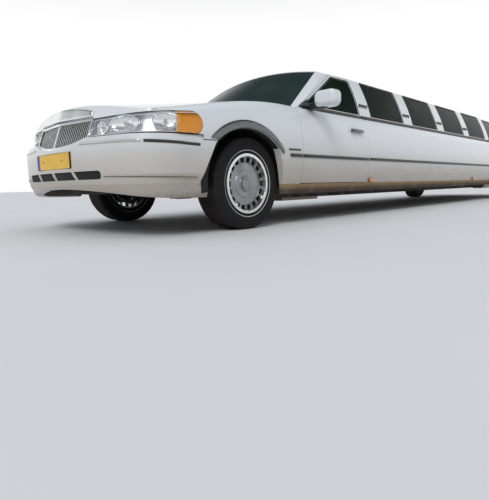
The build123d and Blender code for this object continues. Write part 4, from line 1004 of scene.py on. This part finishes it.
# %% Nose curve
nose_shoulder = (0.700, 0.095)
nose_corner = (0.955, 0.425)
flank_end = (1.003, 1.075)
front_radius = (nose_shoulder[0] ** 2 + nose_shoulder[1] ** 2) / (2 * nose_shoulder[1])
front_turn = math.asin(nose_shoulder[0] / front_radius)
corner_step = Vector(nose_corner) - Vector(nose_shoulder)
corner_normal = Vector((-math.sin(front_turn), math.cos(front_turn)))
corner_radius = corner_step.length_squared / (2 * corner_step.dot(corner_normal))
corner_centre = Vector(nose_shoulder) + corner_radius * corner_normal
corner_end = math.radians(88)


def nose_points(depth, start_x, end_y, step=0.03):
    """Places (x, y) round the left of the nose, from a half width to a distance behind the nose."""
    places = []
    turn = math.asin(start_x / front_radius)
    while turn < front_turn:
        reach = front_radius - depth
        places.append((reach * math.sin(turn), nose + front_radius - reach * math.cos(turn)))
        turn += step / front_radius
    turn = front_turn
    while turn < corner_end:
        reach = corner_radius - depth
        x = corner_centre.x + reach * math.sin(turn)
        places.append((x, nose + corner_centre.y - reach * math.cos(turn)))
        turn += step / corner_radius
    away = nose_corner[1]
    while away < end_y:
        share = (away - nose_corner[1]) / (flank_end[1] - nose_corner[1])
        places.append((nose_corner[0] + share * (flank_end[0] - nose_corner[0]) - depth, nose + away))
        away += step
    return places


print("corner radius", round(corner_radius, 4), "centre", [round(v, 4) for v in corner_centre])

# %% [markdown]
# ## Bumper strips and seam
# A bright strip starts beside the grille and turns into a black one round the corner. Lower down, a thin
# dark seam shows where the two halves of the bumper cover meet. All three are ribbons along the nose
# curve, each kept a little proud of the cover.

# %% Bumper strips
# name, depth, half widths at the start and end, last distance behind the nose, heights at the start and
# end, height of the strip, wall, material, slot
bumper_rows = (
    ("bright", 0.0035, 0.33, 0.848, 0.24, 0.626, 0.618, 0.0150, 0.007, dusty_chrome, "chrome"),
    ("black", 0.0030, 0.850, 2.0, 0.555, 0.618, 0.602, 0.018, 0.008, black_trim, "cabin_trim"),
)
for name, depth, start_x, end_x, end_y, start_z, end_z, height, wall, material, slot in bumper_rows:
    places = nose_points(depth, min(start_x, 0.699), end_y, 0.02)
    places = [place for place in places if start_x <= place[0] <= end_x]
    heights = spread(start_z, end_z, len(places))
    for side, sign in sides:
        draw_line([(sign * x, y, z) for (x, y), z in zip(places, heights)])
        pull((0, 0, -height))
        give_wall(wall, 0.0022)
        hand_over(f"bumper_strip_{name}_{side}", material, "body")
seam_top = 0.405
seam_flare = 0.175
seam_places = nose_points(0.0022, 0.575, 0.545)
seam_heights = spread(0.402, 0.386, len(seam_places))
seam_line = [(x + seam_flare * (seam_top - z), y, z) for (x, y), z in zip(seam_places, seam_heights)]
for side, sign in sides:
    draw_line([(sign * x, y, z) for x, y, z in seam_line])
    pull((0, 0, -0.0028))
    give_wall(0.0060, 0.0)
    hand_over(f"bumper_seam_{side}", seal_rubber, "body")
say("bumper strips and seams")

# %% [markdown]
# ## Air intakes
# The slots in the bumper are black inside. A dark liner behind them, bent like the bumper, closes the
# view to the beam and leaves only the slanted ribs white.

# %% Intake liner
left = [place for place in nose_points(0.010, 0.0, 0.20, 0.05) if place[0] <= 0.60]
path = [(-x, y) for x, y in reversed(left[1:])] + left
draw_line([(x, y, 0.4445) for x, y in path])
pull((0, 0, -0.064))
give_wall(0.003, 0.0)
hand_over("intake_liner", liner_plastic_and_shade, "body")
say("intake liner")

# %% [markdown]
# ## Number plate
# The plate is a thin yellow sheet on a black holder, with a pressed rim and a blue field at one end. It
# is left blank. A cube is flattened, its upright edges are bevelled into round corners, and the front
# face is inset twice to press the rim. Two bolts hold it.

# %% Blocks and bars
def rounded_block(first, second, axis, corner, soft):
    """A block between two points, its edges along one axis rounded to a corner, the rest softened."""
    low = [min(pair) for pair in zip(first, second)]
    high = [max(pair) for pair in zip(first, second)]
    deselect()
    bpy.ops.mesh.primitive_cube_add(size=1, location=[(a + b) / 2 for a, b in zip(low, high)])
    block = bpy.context.object
    block.scale = [b - a for a, b in zip(low, high)]
    settle()

    def runs_along(edge):
        start, end = edge_ends(edge)
        return abs((start - end)[axis]) > 0.9 * (start - end).length

    edit_chosen("EDGE", runs_along)
    bpy.ops.mesh.bevel(offset=corner, segments=5, affect="EDGES")
    leave_edit()
    if soft:
        soften(soft, angle=60)
    smooth()
    return block


def cylinder(corners, radius, depth, place, turned=(0, 0, 0)):
    """A cylinder at a place, turned from upright by angles in degrees."""
    deselect()
    rotation = [math.radians(angle) for angle in turned]
    bpy.ops.mesh.primitive_cylinder_add(
        vertices=corners, radius=radius, depth=depth, location=place, rotation=rotation)
    settle()


def press_face(is_chosen, *insets):
    """Inset the faces that a test chooses, by a thickness and a depth each time."""
    edit_chosen("FACE", is_chosen)
    for thickness, depth in insets:
        bpy.ops.mesh.inset(thickness=thickness, depth=depth)
    leave_edit()


# %% Plate finishes
def make_sheet_finish(name, colour):
    material, surface, place = begin(name)
    dust = ramp(noise(place, 11.0, 4.0), 0.4, 0.85) * 0.25
    join(surface, {
        "Base Color": blend_colours(dust, colour, (0.34, 0.27, 0.18, 1)),
        "Roughness": 0.32 + dust,
        "Normal": bump(noise(place, 900.0, 1.0), 0.2, 0.0003),
    })
    return material


plate_yellow = make_sheet_finish("plate_yellow", (0.80, 0.47, 0.02, 1))
plate_blue = make_sheet_finish("plate_blue", (0.02, 0.05, 0.30, 1))
print("made", plate_yellow.name, plate_blue.name)

# %% Plate
plate_half = 0.258
plate_x = -0.018
plate_y = nose + 0.0165
plate_z = 0.520
sheet_back = plate_y - 0.0102
sheet_front = plate_y - 0.0135
band_end = -plate_half + 0.046
sheet_rows = (
    ("field", band_end + 0.0005, plate_half - 0.002, plate_yellow),
    ("band", -plate_half + 0.002, band_end, plate_blue),
)
rounded_block(
    (plate_x - plate_half, plate_y, plate_z - 0.055),
    (plate_x + plate_half, plate_y - 0.010, plate_z + 0.055), 1, 0.010, 0.001)
hand_over("plate_holder_front", black_trim, "body")
for name, start, end, material in sheet_rows:
    sheet = rounded_block(
        (start + plate_x, sheet_back, plate_z - 0.053), (end + plate_x, sheet_front, plate_z + 0.053),
        1, 0.006, 0.0)
    front_face = max(sheet.data.polygons, key=lambda face: -face.normal.y * face.area).index
    press_face(lambda face: face.index == front_face, (0.004, 0.0), (0.0010, -0.0010))
    hand_over(f"plate_{name}_front", material, "body")
for side, sign in sides[::-1]:
    cylinder(20, 0.0065, 0.005, (sign * 0.150 + plate_x, sheet_back - 0.001, plate_z), (90, 0, 0))
    soften(0.0015)
    smooth()
    hand_over(f"plate_bolt_front_{side}", black_trim, "body")
say("plate")

# %% [markdown]
# ## Bright header over the grille
# The leading edge of the hood carries a bright header above the grille, higher in the middle than at its
# ends. It is a strip as wide as the grille whose upper points are moved to a curve, laid on the hood and
# drawn forward to a beak in the middle.

# %% Hood header
header_half = 0.388
header_low = 0.794
header_rise = 0.080
header_drop = 0.046
header_beak = 0.014
beak_half = 0.16
draw_line([(x, nose - 0.4, header_low) for x in spread(-header_half, header_half, 25)])
pull((0, 0, header_rise), 4)
for point in points_of_piece():
    share = (point.z - header_low) / header_rise
    point.z = header_low + share * (header_rise - header_drop * (point.x / header_half) ** 2)
lay_on("hood", "y", 1, 0.006)
for point in points_of_piece():
    point.y -= header_beak * max(0.0, 1.0 - abs(point.x) / beak_half)
give_wall(0.014, 0.005, 3)
hand_over("hood_header", chrome, "hood_body")
say("hood header")

# %% [markdown]
# ## Lamp trays
# Behind each clear cover lies a bright tray, which stands for the plain housing of the solids. It
# follows the nose round its corner and leans back as the nose does, which a bent block would not do
# well. So four lines, two at the cover and two behind, are drawn along the nose and bridged into a
# channel.

# %% Lamp trays
lamp_low, lamp_high, lamp_front_high = 0.663, 0.800, 0.763
lamp_start = nose - 0.1
lamp_end = front_axle - 0.545
lean = math.tan(math.radians(20))
lean_from = 0.545
straight_until = nose + 0.30


def lamp_top(y):
    """Height of a lamp's upper edge, which climbs toward the rear."""
    share = min(1.0, max(0.0, (y - lamp_start) / (lamp_end - lamp_start)))
    return lamp_front_high + share * (lamp_high - lamp_front_high)


def lean_back(height):
    return (height - lean_from) * lean


def tray_row(sign, depth, at_top):
    """One line of a tray, at a depth behind the cover."""
    row = []
    for x, y in nose_points(depth, 0.403, 0.50, 0.025):
        z = lamp_top(y) - 0.004 if at_top else lamp_low + 0.004
        share = 1.0 if y < straight_until else max(0.0, 1.0 - (y - straight_until) / 0.6)
        row.append((sign * x, y + lean_back(z) * share, z))
    return row


def bridge_rows(rows):
    """Draw lines with the same number of points, join them and fill the bands between them."""
    pieces = [draw_line(row) for row in rows]
    deselect()
    for piece in pieces:
        piece.select_set(True)
    bpy.context.view_layer.objects.active = pieces[0]
    bpy.ops.object.join()
    count = len(rows[0])
    for first in range(len(rows) - 1):
        band = range(first * count, (first + 2) * count)
        edit_chosen("EDGE", lambda edge: all(number in band for number in edge.vertices))
        bpy.ops.mesh.bridge_edge_loops()
        leave_edit()
    make_outward()


lamp_glow = make_metal("lamp_tray", (0.74, 0.76, 0.78, 1), 0.28, 0.10)
for side, sign in sides:
    lines = ((0.012, True), (0.052, True), (0.052, False), (0.012, False))
    bridge_rows([tray_row(sign, depth, at_top) for depth, at_top in lines])
    give_wall(0.003, 0.0)
    tray = hand_over(f"lamp_tray_{side}", lamp_glow, "body")
    if side == "left":
        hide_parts("headlamp_housings")
say("lamp trays")

# %% [markdown]
# ## Bowls and bulbs
# Each tray holds three bright bowls, which throw the light forward, and a bulb in each. A bowl is half a
# sphere, flattened, and turned towards its own direction. A bulb is a short cylinder with every edge
# well rounded, lying along that direction.

# %% Bowls and bulbs
bowl_depth = 0.034
bulb_forward = 0.016
# name, x, half width, half height, aim in degrees, height
bowl_rows = (
    ("inner", 0.675, 0.118, 0.052, 18.0, 0.727),
    ("outer", 0.892, 0.084, 0.056, 54.0, 0.734),
    ("corner", 0.486, 0.048, 0.040, 8.0, 0.714),
)
behind_cover = nose_points(0.016, 0.40, 0.5, 0.005)
for side, sign in sides:
    for name, x, half_width, half_height, aim, height in bowl_rows:
        near = min(behind_cover, key=lambda place: abs(place[0] - x))
        middle = Vector((sign * near[0], near[1] + lean_back(height), height))
        turn = sign * math.radians(aim)
        deselect()
        bpy.ops.mesh.primitive_uv_sphere_add(segments=32, ring_count=16, radius=1.0)
        bowl = bpy.context.object
        edit("VERT", "SELECT")
        bpy.ops.mesh.bisect(plane_co=(0, 0, 0), plane_no=(0, -1, 0), clear_outer=True)
        leave_edit()
        bowl.scale = (half_width, bowl_depth, half_height)
        bowl.rotation_euler = (0, 0, turn)
        bowl.location = middle
        settle()
        make_outward()
        give_wall(0.0015, 0.0)
        hand_over(f"lamp_bowl_{name}_{side}", reflector, "body")
        inward = Vector((-math.sin(turn), math.cos(turn), 0))
        cylinder(20, 0.009, 0.030, middle + bulb_forward * inward, (90, 0, sign * aim))
        round_all(0.006, 3)
        smooth()
        hand_over(f"lamp_bulb_{name}_{side}", dusty_chrome, "body")
say("bowls and bulbs")

# %% [markdown]
# ## Door mirrors and handles
# The mirror head is white and stands on a black foot in the corner of the window. The glass is a bright
# plate on its rear face. The pull handles are dark and bright, over the solid's own bar.

# %% Mirrors and handles
mirror_y = front_axle + 0.770
foot_y = mirror_y + 0.010
sail_y = front_axle + 0.824
sail = ((sail_y - 0.148, 0.972), (sail_y, 0.972), (sail_y, 1.046))
handle_places = (("front", front_door_end - 0.205), ("rear", rear_door_end - 0.060))
handle_z = 0.812
half_long, half_high = 0.102, 0.0147
for side, sign in sides:
    solid, body = carriers("door_front", side)
    rounded_block(
        (sign * 0.888, foot_y - 0.036, 0.9405), (sign * 1.072, foot_y + 0.036, 0.9790), 0, 0.010, 0.002)
    hand_over(f"mirror_foot_{side}", black_trim, body)
    rounded_block(
        (sign * 1.000, mirror_y + 0.0545, 0.962), (sign * 1.170, mirror_y + 0.0575, 1.068),
        1, 0.034, 0.001)
    hand_over(f"mirror_glass_{side}", chrome, body)
    rounded_face([(sign * beside_car, y, z) for y, z in sail], 0.008, 3)
    edit("VERT", "SELECT")
    bpy.ops.mesh.subdivide(number_cuts=3)
    leave_edit()
    lay_on(solid, "x", -sign, 0.003)
    give_wall(0.005, 0.0015)
    hand_over(f"mirror_sail_{side}", black_trim, body)
    for place, y in handle_places:
        rounded_block(
            (sign * 0.9725, y - half_long, handle_z - half_high),
            (sign * 0.9985, y + half_long, handle_z + half_high), 1, 0.008, 0.0015)
        hand_over(f"handle_cover_{place}_{side}", dark_chrome, f"door_{place}_{side}_body")
say("mirrors and handles")

# %% [markdown]
# ## Wipers
# Two wipers lie at the foot of the windscreen. Each is a thin blade with a thicker arm over it, drawn as
# lines above the glass and dropped on it.

# %% Wipers
above_glass = 1.4


def screen_foot(x):
    """Where the windscreen's lower edge lies along the car, at a place across it."""
    return front_axle + 0.440 + 0.326 * x * x


for side, start_x, end_x in (("left", 0.60, 0.06), ("right", 0.02, -0.52)):
    middle_x = (start_x + end_x) / 2
    blade = [(x, screen_foot(x) + 0.045 + 0.06 * abs(x - start_x)) for x in spread(start_x, end_x, 12)]
    arm = [(x, screen_foot(x) + 0.012 + 0.18 * (start_x - x)) for x in spread(start_x, middle_x, 8)]
    wiper_rows = (("blade", blade, 0.012, 0.006, 0.010), ("arm", arm, 0.016, 0.016, 0.008))
    for name, line, width, lift, wall in wiper_rows:
        draw_line([(x, y, above_glass) for x, y in line])
        pull((0, width, 0))
        lay_on("windscreen", "z", -1, lift)
        give_wall(wall, 0.002)
        hand_over(f"wiper_{name}_{side}", black_trim, "body")
say("wipers")

# %% [markdown]
# ## Wheel centres
# In the middle of each wheel sits a round cap with a shallow dish, and near the rim a valve. The cap is
# a cylinder whose end is inset and pushed in, and whose edge is bevelled. Both turn with the wheel.

# %% Wheel caps
valve_reach = 0.188
wheel_rows = (("front", 0.805, front_axle), ("rear", 0.8295, rear_axle))
for place, x, y in wheel_rows:
    for side, sign in sides:
        outward = (0, sign * 90, 0)
        cylinder(48, 0.047, 0.010, (sign * (x + 0.0825), y, wheel_height), outward)
        press_face(lambda face: face.normal.x * sign > 0.9, (0.010, 0.0), (0.004, -0.0035))
        soften(0.0015)
        smooth()
        hand_over(f"wheel_cap_{place}_{side}", alloy[place], f"wheel_{place}_{side}")
        cylinder(12, 0.004, 0.034, (sign * (x + 0.093), y, wheel_height - valve_reach), outward)
        round_all(0.0012, 2)
        smooth()
        hand_over(f"wheel_valve_{place}_{side}", seal_rubber, f"wheel_{place}_{side}")
say("wheel caps and valves")

# %% [markdown]
# ## Cushions
# The front seats, the bench across the rear and the long bench down the right side are leather over
# foam. Stuffed things look wrong as blocks: the cover is tight, so it bulges in the middle of a panel
# and pulls in between the corners. So each cushion starts as a block a little too small, is remeshed
# into even quads and is blown up as cloth under pressure, with a limit on how far a point may move. The
# sewn channels come afterwards, as dips along lines, and one subdivision makes the whole soft.

# %% Stuffing
cushion_grid = 0.022
cushion_frames = 20
swell_limit = 0.014
stuffing_settings = {
    "use_pressure": True,
    "uniform_pressure_force": 4.0,
    "tension_stiffness": 40.0,
    "compression_stiffness": 40.0,
    "shear_stiffness": 20.0,
    "bending_stiffness": 4.0,
}


def swell(limit):
    """Blow up the active cushion like a stuffed cover, no point further than a limit."""
    piece = bpy.context.object
    before = [point.copy() for point in points_of_piece()]
    stuffing = piece.modifiers.new("stuffing", "CLOTH")
    for name, value in stuffing_settings.items():
        setattr(stuffing.settings, name, value)
    stuffing.settings.effector_weights.gravity = 0.0
    stuffing.point_cache.frame_end = cushion_frames
    for number in range(1, cushion_frames + 1):
        bpy.context.scene.frame_set(number)
    bpy.ops.object.modifier_apply(modifier=stuffing.name)
    limited = 0
    for point, start in zip(piece.data.vertices, before):
        step = point.co - start
        if step.length > limit:
            point.co = start + step * (limit / step.length)
            limited += 1
    bpy.context.scene.frame_set(1)
    print("swelled", len(before), "points,", limited, "at the limit")


# %% Crown and channels
pinch = 0.010
channel_depth = 0.012
channel_width = 0.020


def crown(low, high, axis, toward, rise):
    """Raise the middle of one side and draw the four edges in between the corners."""
    flat = [number for number in range(3) if number != axis]
    for point in points_of_piece():
        share = [2 * (point[i] - low[i]) / (high[i] - low[i]) - 1 for i in range(3)]
        room = [max(0.0, 1 - share[i] ** 2) for i in flat]
        outer = max(0.0, share[axis] * toward)
        point[axis] += toward * rise * outer * (room[0] * room[1]) ** 0.5
        for i, other in ((flat[0], room[1]), (flat[1], room[0])):
            point[i] -= math.copysign(pinch * other * abs(share[i]) ** 3, share[i])


def channel(axis, places, top_axis, toward):
    """Sew channels across the active cushion at places along an axis."""
    points = points_of_piece()
    middle = sum(point[top_axis] for point in points) / len(points)
    for point in points:
        if (point[top_axis] - middle) * toward <= 0:
            continue
        for place in places:
            away = (point[axis] - place) / channel_width
            point[top_axis] -= toward * channel_depth * math.exp(-away * away)


# %% Cushion
def cushion(name, node, low, high, top_axis, toward, channels, rise=0.012, tilt=0.0):
    """A stuffed block with sewn channels; a tilt in degrees leans it about the car's width."""
    trim = swell_limit + 0.002
    inner_low = [value + trim for value in low]
    inner_high = [value - trim for value in high]
    piece = rounded_block(inner_low, inner_high, 0, 0.028, 0.0)
    piece.data.remesh_voxel_size = cushion_grid
    bpy.ops.object.voxel_remesh()
    swell(swell_limit)
    crown(inner_low, inner_high, top_axis, toward, rise)
    for axis, places in channels:
        channel(axis, places, top_axis, toward)
    if tilt:
        foot = ((low[0] + high[0]) / 2, (low[1] + high[1]) / 2, low[2])
        bpy.ops.transform.rotate(value=-math.radians(tilt), orient_axis="X", center_override=foot)
        settle()
    use("SUBSURF", levels=1, render_levels=1)
    bpy.ops.object.shade_smooth()
    hand_over(name, leather, "body")
    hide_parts(node)


# %% [markdown]
# ## Front seats
# A front seat is a cushion, a back and a headrest on two bright posts, over a plain base. The back leans
# by five degrees, which is done last, because a block is easier to stuff and to sew while it is upright.
# These pieces stand for the plain seats of the solids.

# %% Front seats
seat_start = front_axle + 1.190
seat_end = seat_start + 0.490
back_ribs = [(2, (0.60, 0.72, 0.84, 0.96))]
for side, sign in sides:
    low_x, high_x = sorted((sign * 0.168, sign * 0.662))
    middle_x = (low_x + high_x) / 2
    ribs = [(0, (middle_x - 0.13, middle_x, middle_x + 0.13))]
    cushion(
        f"seat_cushion_{side}", "front_seats",
        (low_x, seat_start, 0.385), (high_x, seat_end, 0.545), 2, 1, ribs)
    cushion(
        f"seat_back_{side}", "front_seats",
        (low_x, seat_end, 0.420), (high_x, seat_start + 0.605, 1.085), 1, -1, back_ribs, 0.010, 5.0)
    cushion(
        f"seat_headrest_{side}", "front_seats",
        (middle_x - 0.130, seat_start + 0.545, 1.095), (middle_x + 0.130, seat_start + 0.635, 1.220),
        1, -1, [], 0.006)
    rounded_block(
        (low_x + 0.03, seat_start + 0.05, 0.3055), (high_x - 0.03, seat_start + 0.55, 0.392),
        2, 0.03, 0.006)
    base = hand_over(f"seat_base_{side}", cabin_plastic, "body")
    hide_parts("front_seats")
    for x in (middle_x - 0.06, middle_x + 0.06):
        post = "outer" if abs(x) > abs(middle_x) else "inner"
        cylinder(16, 0.006, 0.07, (x, seat_start + 0.592, 1.098))
        smooth()
        hand_over(f"headrest_post_{side}_{post}", dusty_chrome, "body")
say("front seats")

# %% [markdown]
# ## Rear bench
# The bench at the end of the lounge goes right across it, with one long cushion and one long back. Its
# channels run from front to back and part it into six panels.

# %% Rear bench
bench_start = rear_axle - 0.615
bench_half = 0.632
bench_ribs = [(0, (-0.42, -0.21, 0.0, 0.21, 0.42))]
cushion(
    "rear_bench_cushion", "rear_bench",
    (-bench_half, bench_start, 0.475), (bench_half, bench_start + 0.500, 0.600), 2, 1, bench_ribs)
cushion(
    "rear_bench_back", "rear_bench",
    (-bench_half, bench_start + 0.490, 0.500), (bench_half, bench_start + 0.600, 0.998),
    1, -1, bench_ribs, 0.010, 4.0)
rounded_block(
    (-0.630, bench_start + 0.020, 0.3055), (0.630, bench_start + 0.205, 0.485), 0, 0.010, 0.004)
base = hand_over("rear_bench_base", leather, "body")
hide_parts("rear_bench")
say("rear bench")

# %% [markdown]
# ## Side bench
# The long bench stands along the right wall and faces the bar. It is made like the rear one, turned by a
# quarter: its channels run across the car, at an even pitch along it.

# %% Side bench
side_start = front_axle + 3.350
side_end = rear_door_start - 0.100
seams = [(1, spread(side_start + 0.33, side_end - 0.33, 6))]
cushion(
    "side_bench_cushion", "side_bench",
    (-0.660, side_start, 0.385), (-0.272, side_end, 0.522), 2, 1, seams)
cushion(
    "side_bench_back", "side_bench",
    (-0.788, side_start, 0.400), (-0.668, side_end, 0.938), 0, 1, seams)
rounded_block(
    (-0.690, side_start + 0.01, 0.3055), (-0.320, side_end - 0.01, 0.392), 1, 0.010, 0.004)
base = hand_over("side_bench_base", cabin_plastic, "body")
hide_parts("side_bench")
say("side bench")

# %% [markdown]
# ## Inside mirror
# Behind the windscreen hangs the inside mirror, on a short stalk under the roof. The mirror is a rounded
# block with a thin bright plate on its rear face.

# %% Inside mirror
inside_y = front_axle + 1.145
rounded_block((-0.120, inside_y - 0.012, 1.262), (0.120, inside_y + 0.012, 1.322), 1, 0.022, 0.003)
hand_over("inside_mirror_shell", cabin_plastic, "body")
rounded_block((-0.113, inside_y + 0.0125, 1.268), (0.113, inside_y + 0.0140, 1.316), 1, 0.018, 0.0)
hand_over("inside_mirror_glass", chrome, "body")
cylinder(16, 0.007, 0.090, (0, inside_y - 0.026, 1.345), (28, 0, 0))
smooth()
hand_over("inside_mirror_stalk", cabin_plastic, "body")
say("inside mirror")

# %% [markdown]
# ## Tail
# The rear bumper carries a black strip like the front one. It is drawn behind the car as a straight
# line and laid on the bumper, which bends it.

# %% Tail strip
draw_line([(x, tail + 0.3, 0.600) for x in spread(-0.70, 0.70, 41)])
pull((0, 0, -0.020), 1)
lay_on("rear_bumper", "y", -1, 0.004)
give_wall(0.009, 0.003)
hand_over("rear_bumper_strip", black_trim, "body")
say("tail strip")

# %% [markdown]
# ## Deck under the rear window
# The rear window curves forward at its sides, and the painted deck of the body runs up to its foot. The
# solids stop at a straight line behind the window, so the deck is made here. A line of points is drawn
# along that line and pulled forward in steps. The steps are then shortened to end at the foot of the
# window, and each point takes the slope of the quarter panel beside it, which a ray from above measures.

# %% Rear deck
deck_edge = rear_axle + 0.473
deck_half = 0.801
deck_reach = 0.10
deck_steps = 7
behind_edge = 0.004
beside_x = 0.812
backlight_slope = math.radians(33)
backlight_radius = 1.8
backlight_y = rear_axle + 0.470
backlight_z = 0.985
quarters = frame["nodes"]["quarter_panels"]


def height_of(node, x, y, top=1.3):
    """Height of a solid's upper face at a place, from a ray straight down."""
    to_node = node.matrix_world.inverted()
    down = (to_node.to_3x3() @ Vector((0, 0, -1))).normalized()
    hit, place, _, _ = node.ray_cast(to_node @ Vector((x, y, top)), down)
    return (node.matrix_world @ place).z if hit else None


def window_foot(x, height):
    """How far along the car the rear window lies, at a width and a height."""
    back = x * x / (2 * backlight_radius)
    rise = (height - backlight_z + back * math.cos(backlight_slope)) / math.sin(backlight_slope)
    return backlight_y - rise * math.cos(backlight_slope) - back * math.sin(backlight_slope)


edge_height = height_of(quarters, beside_x, deck_edge + behind_edge)
columns = spread(-deck_half, deck_half, 45)
rear_heights = [height_of(quarters, x, deck_edge + behind_edge) for x in columns]
print("deck heights", round(edge_height, 4), [round(height, 3) for height in rear_heights[::11]])
draw_line([(x, deck_edge, height) for x, height in zip(columns, rear_heights)])
pull((0, -deck_reach, 0), deck_steps - 1)
for point in points_of_piece():
    behind = min(zip(columns, rear_heights), key=lambda pair: abs(pair[0] - point.x))[1]
    share = (deck_edge - point.y) / deck_reach
    front = window_foot(point.x, behind + 0.008) - 0.004
    point.y = deck_edge - share * (deck_edge - front)
    point.z = behind + (height_of(quarters, beside_x, point.y) - edge_height) - 0.0015
make_outward()
give_wall(0.003, 0.0)
hand_over("rear_deck", white_paint, "body")
say("rear deck")

# %% [markdown]
# ## Door cards
# With a door open one sees its inside, which on a real car is a moulded card with an armrest. The card
# is one flat face with its corners bevelled, cut into a grid, laid on the inner wall of the door and
# given a thickness. The armrest is a rounded block on it.

# %% Door cards
in_cabin = 0.70
card_rows = (
    ("front", front_door_start + 0.090, front_door_end - 0.085, 0.400, 0.880),
    ("rear", rear_door_start + 0.060, rear_door_end - 0.085, 0.520, 0.880),
)
for place, start, end, low, high in card_rows:
    outline = ((start, low), (end, low), (end, high), (start, high))
    for side, sign in sides:
        solid, body = carriers(f"door_{place}", side)
        rounded_face([(sign * in_cabin, y, z) for y, z in outline], 0.060, 4)
        edit("FACE", "SELECT")
        bpy.ops.mesh.inset(thickness=0.030)
        bpy.ops.mesh.poke()
        bpy.ops.mesh.select_all(action="SELECT")
        bpy.ops.mesh.subdivide(number_cuts=3)
        leave_edit()
        lay_on(solid, "x", sign, 0.006)
        give_wall(0.010, 0.003)
        hand_over(f"door_card_{place}_{side}", cabin_plastic, body)
        inner = min(abs(point.x) for point in points_of_piece())
        rounded_block(
            (sign * (inner - 0.030), start + 0.25, 0.640), (sign * (inner + 0.012), end - 0.12, 0.690),
            1, 0.018, 0.006)
        hand_over(f"door_armrest_{place}_{side}", leather, body)
say("door cards")

# %% [markdown]
# ## Floor
# The car stands on a plain pale floor with a faint change of tone, which catches its shadow.

# %% Floor
bpy.ops.mesh.primitive_plane_add(size=160)
floor = bpy.context.object
floor.name = "floor"
floor_material, floor_surface, floor_place = begin("floor_paint")
floor_tone = noise(floor_place, 0.8, 4.0)
join(floor_surface, {
    "Base Color": blend_colours(floor_tone, (0.66, 0.655, 0.65, 1), (0.72, 0.715, 0.71, 1)),
    "Roughness": 0.75,
})
floor.data.materials.append(floor_material)
print("floor ready")

# %% [markdown]
# ## Sky and sun
# What the camera, the chrome and the glass see is white at the horizon and dark overhead, so that the
# chrome has something to mirror and the windows stay dark. What lights the car is another sky, brightest
# overhead, so that upper faces are lighter than the sides. A large, soft sun adds a weak direction.

# %% Sky and sun
world = bpy.data.worlds.new("studio")
bpy.context.scene.world = world
world.use_nodes = True
tree = world.node_tree
background = tree.nodes["Background"]
climb = split(Flow(tree, tree.nodes.new("ShaderNodeTexCoord").outputs["Generated"]))[2]
rays = tree.nodes.new("ShaderNodeLightPath")
camera_ray, glossy_ray, through_ray = [
    Flow(tree, rays.outputs[name]) for name in ("Is Camera Ray", "Is Glossy Ray", "Is Transmission Ray")]
is_seen = ramp(camera_ray + glossy_ray + through_ray, 0.0, 0.5)
seen_sky = blend_colours(ramp(climb, 0.30, 0.62), (1.0, 1.0, 1.0, 1), (0.10, 0.135, 0.125, 1))
light_sky = blend_colours(ramp(climb, 0.0, 0.7), (0.10, 0.105, 0.12, 1), (0.74, 0.79, 0.86, 1))
tree.links.new(blend_colours(is_seen, light_sky, seen_sky).socket, background.inputs["Color"])
background.inputs["Strength"].default_value = 1.0

bpy.ops.object.light_add(type="SUN", rotation=(math.radians(38), math.radians(28), 0))
sun = bpy.context.object
sun.data.energy = 1.2
sun.data.angle = math.radians(25)
bpy.context.scene.view_settings.view_transform = "Standard"
print("studio ready")
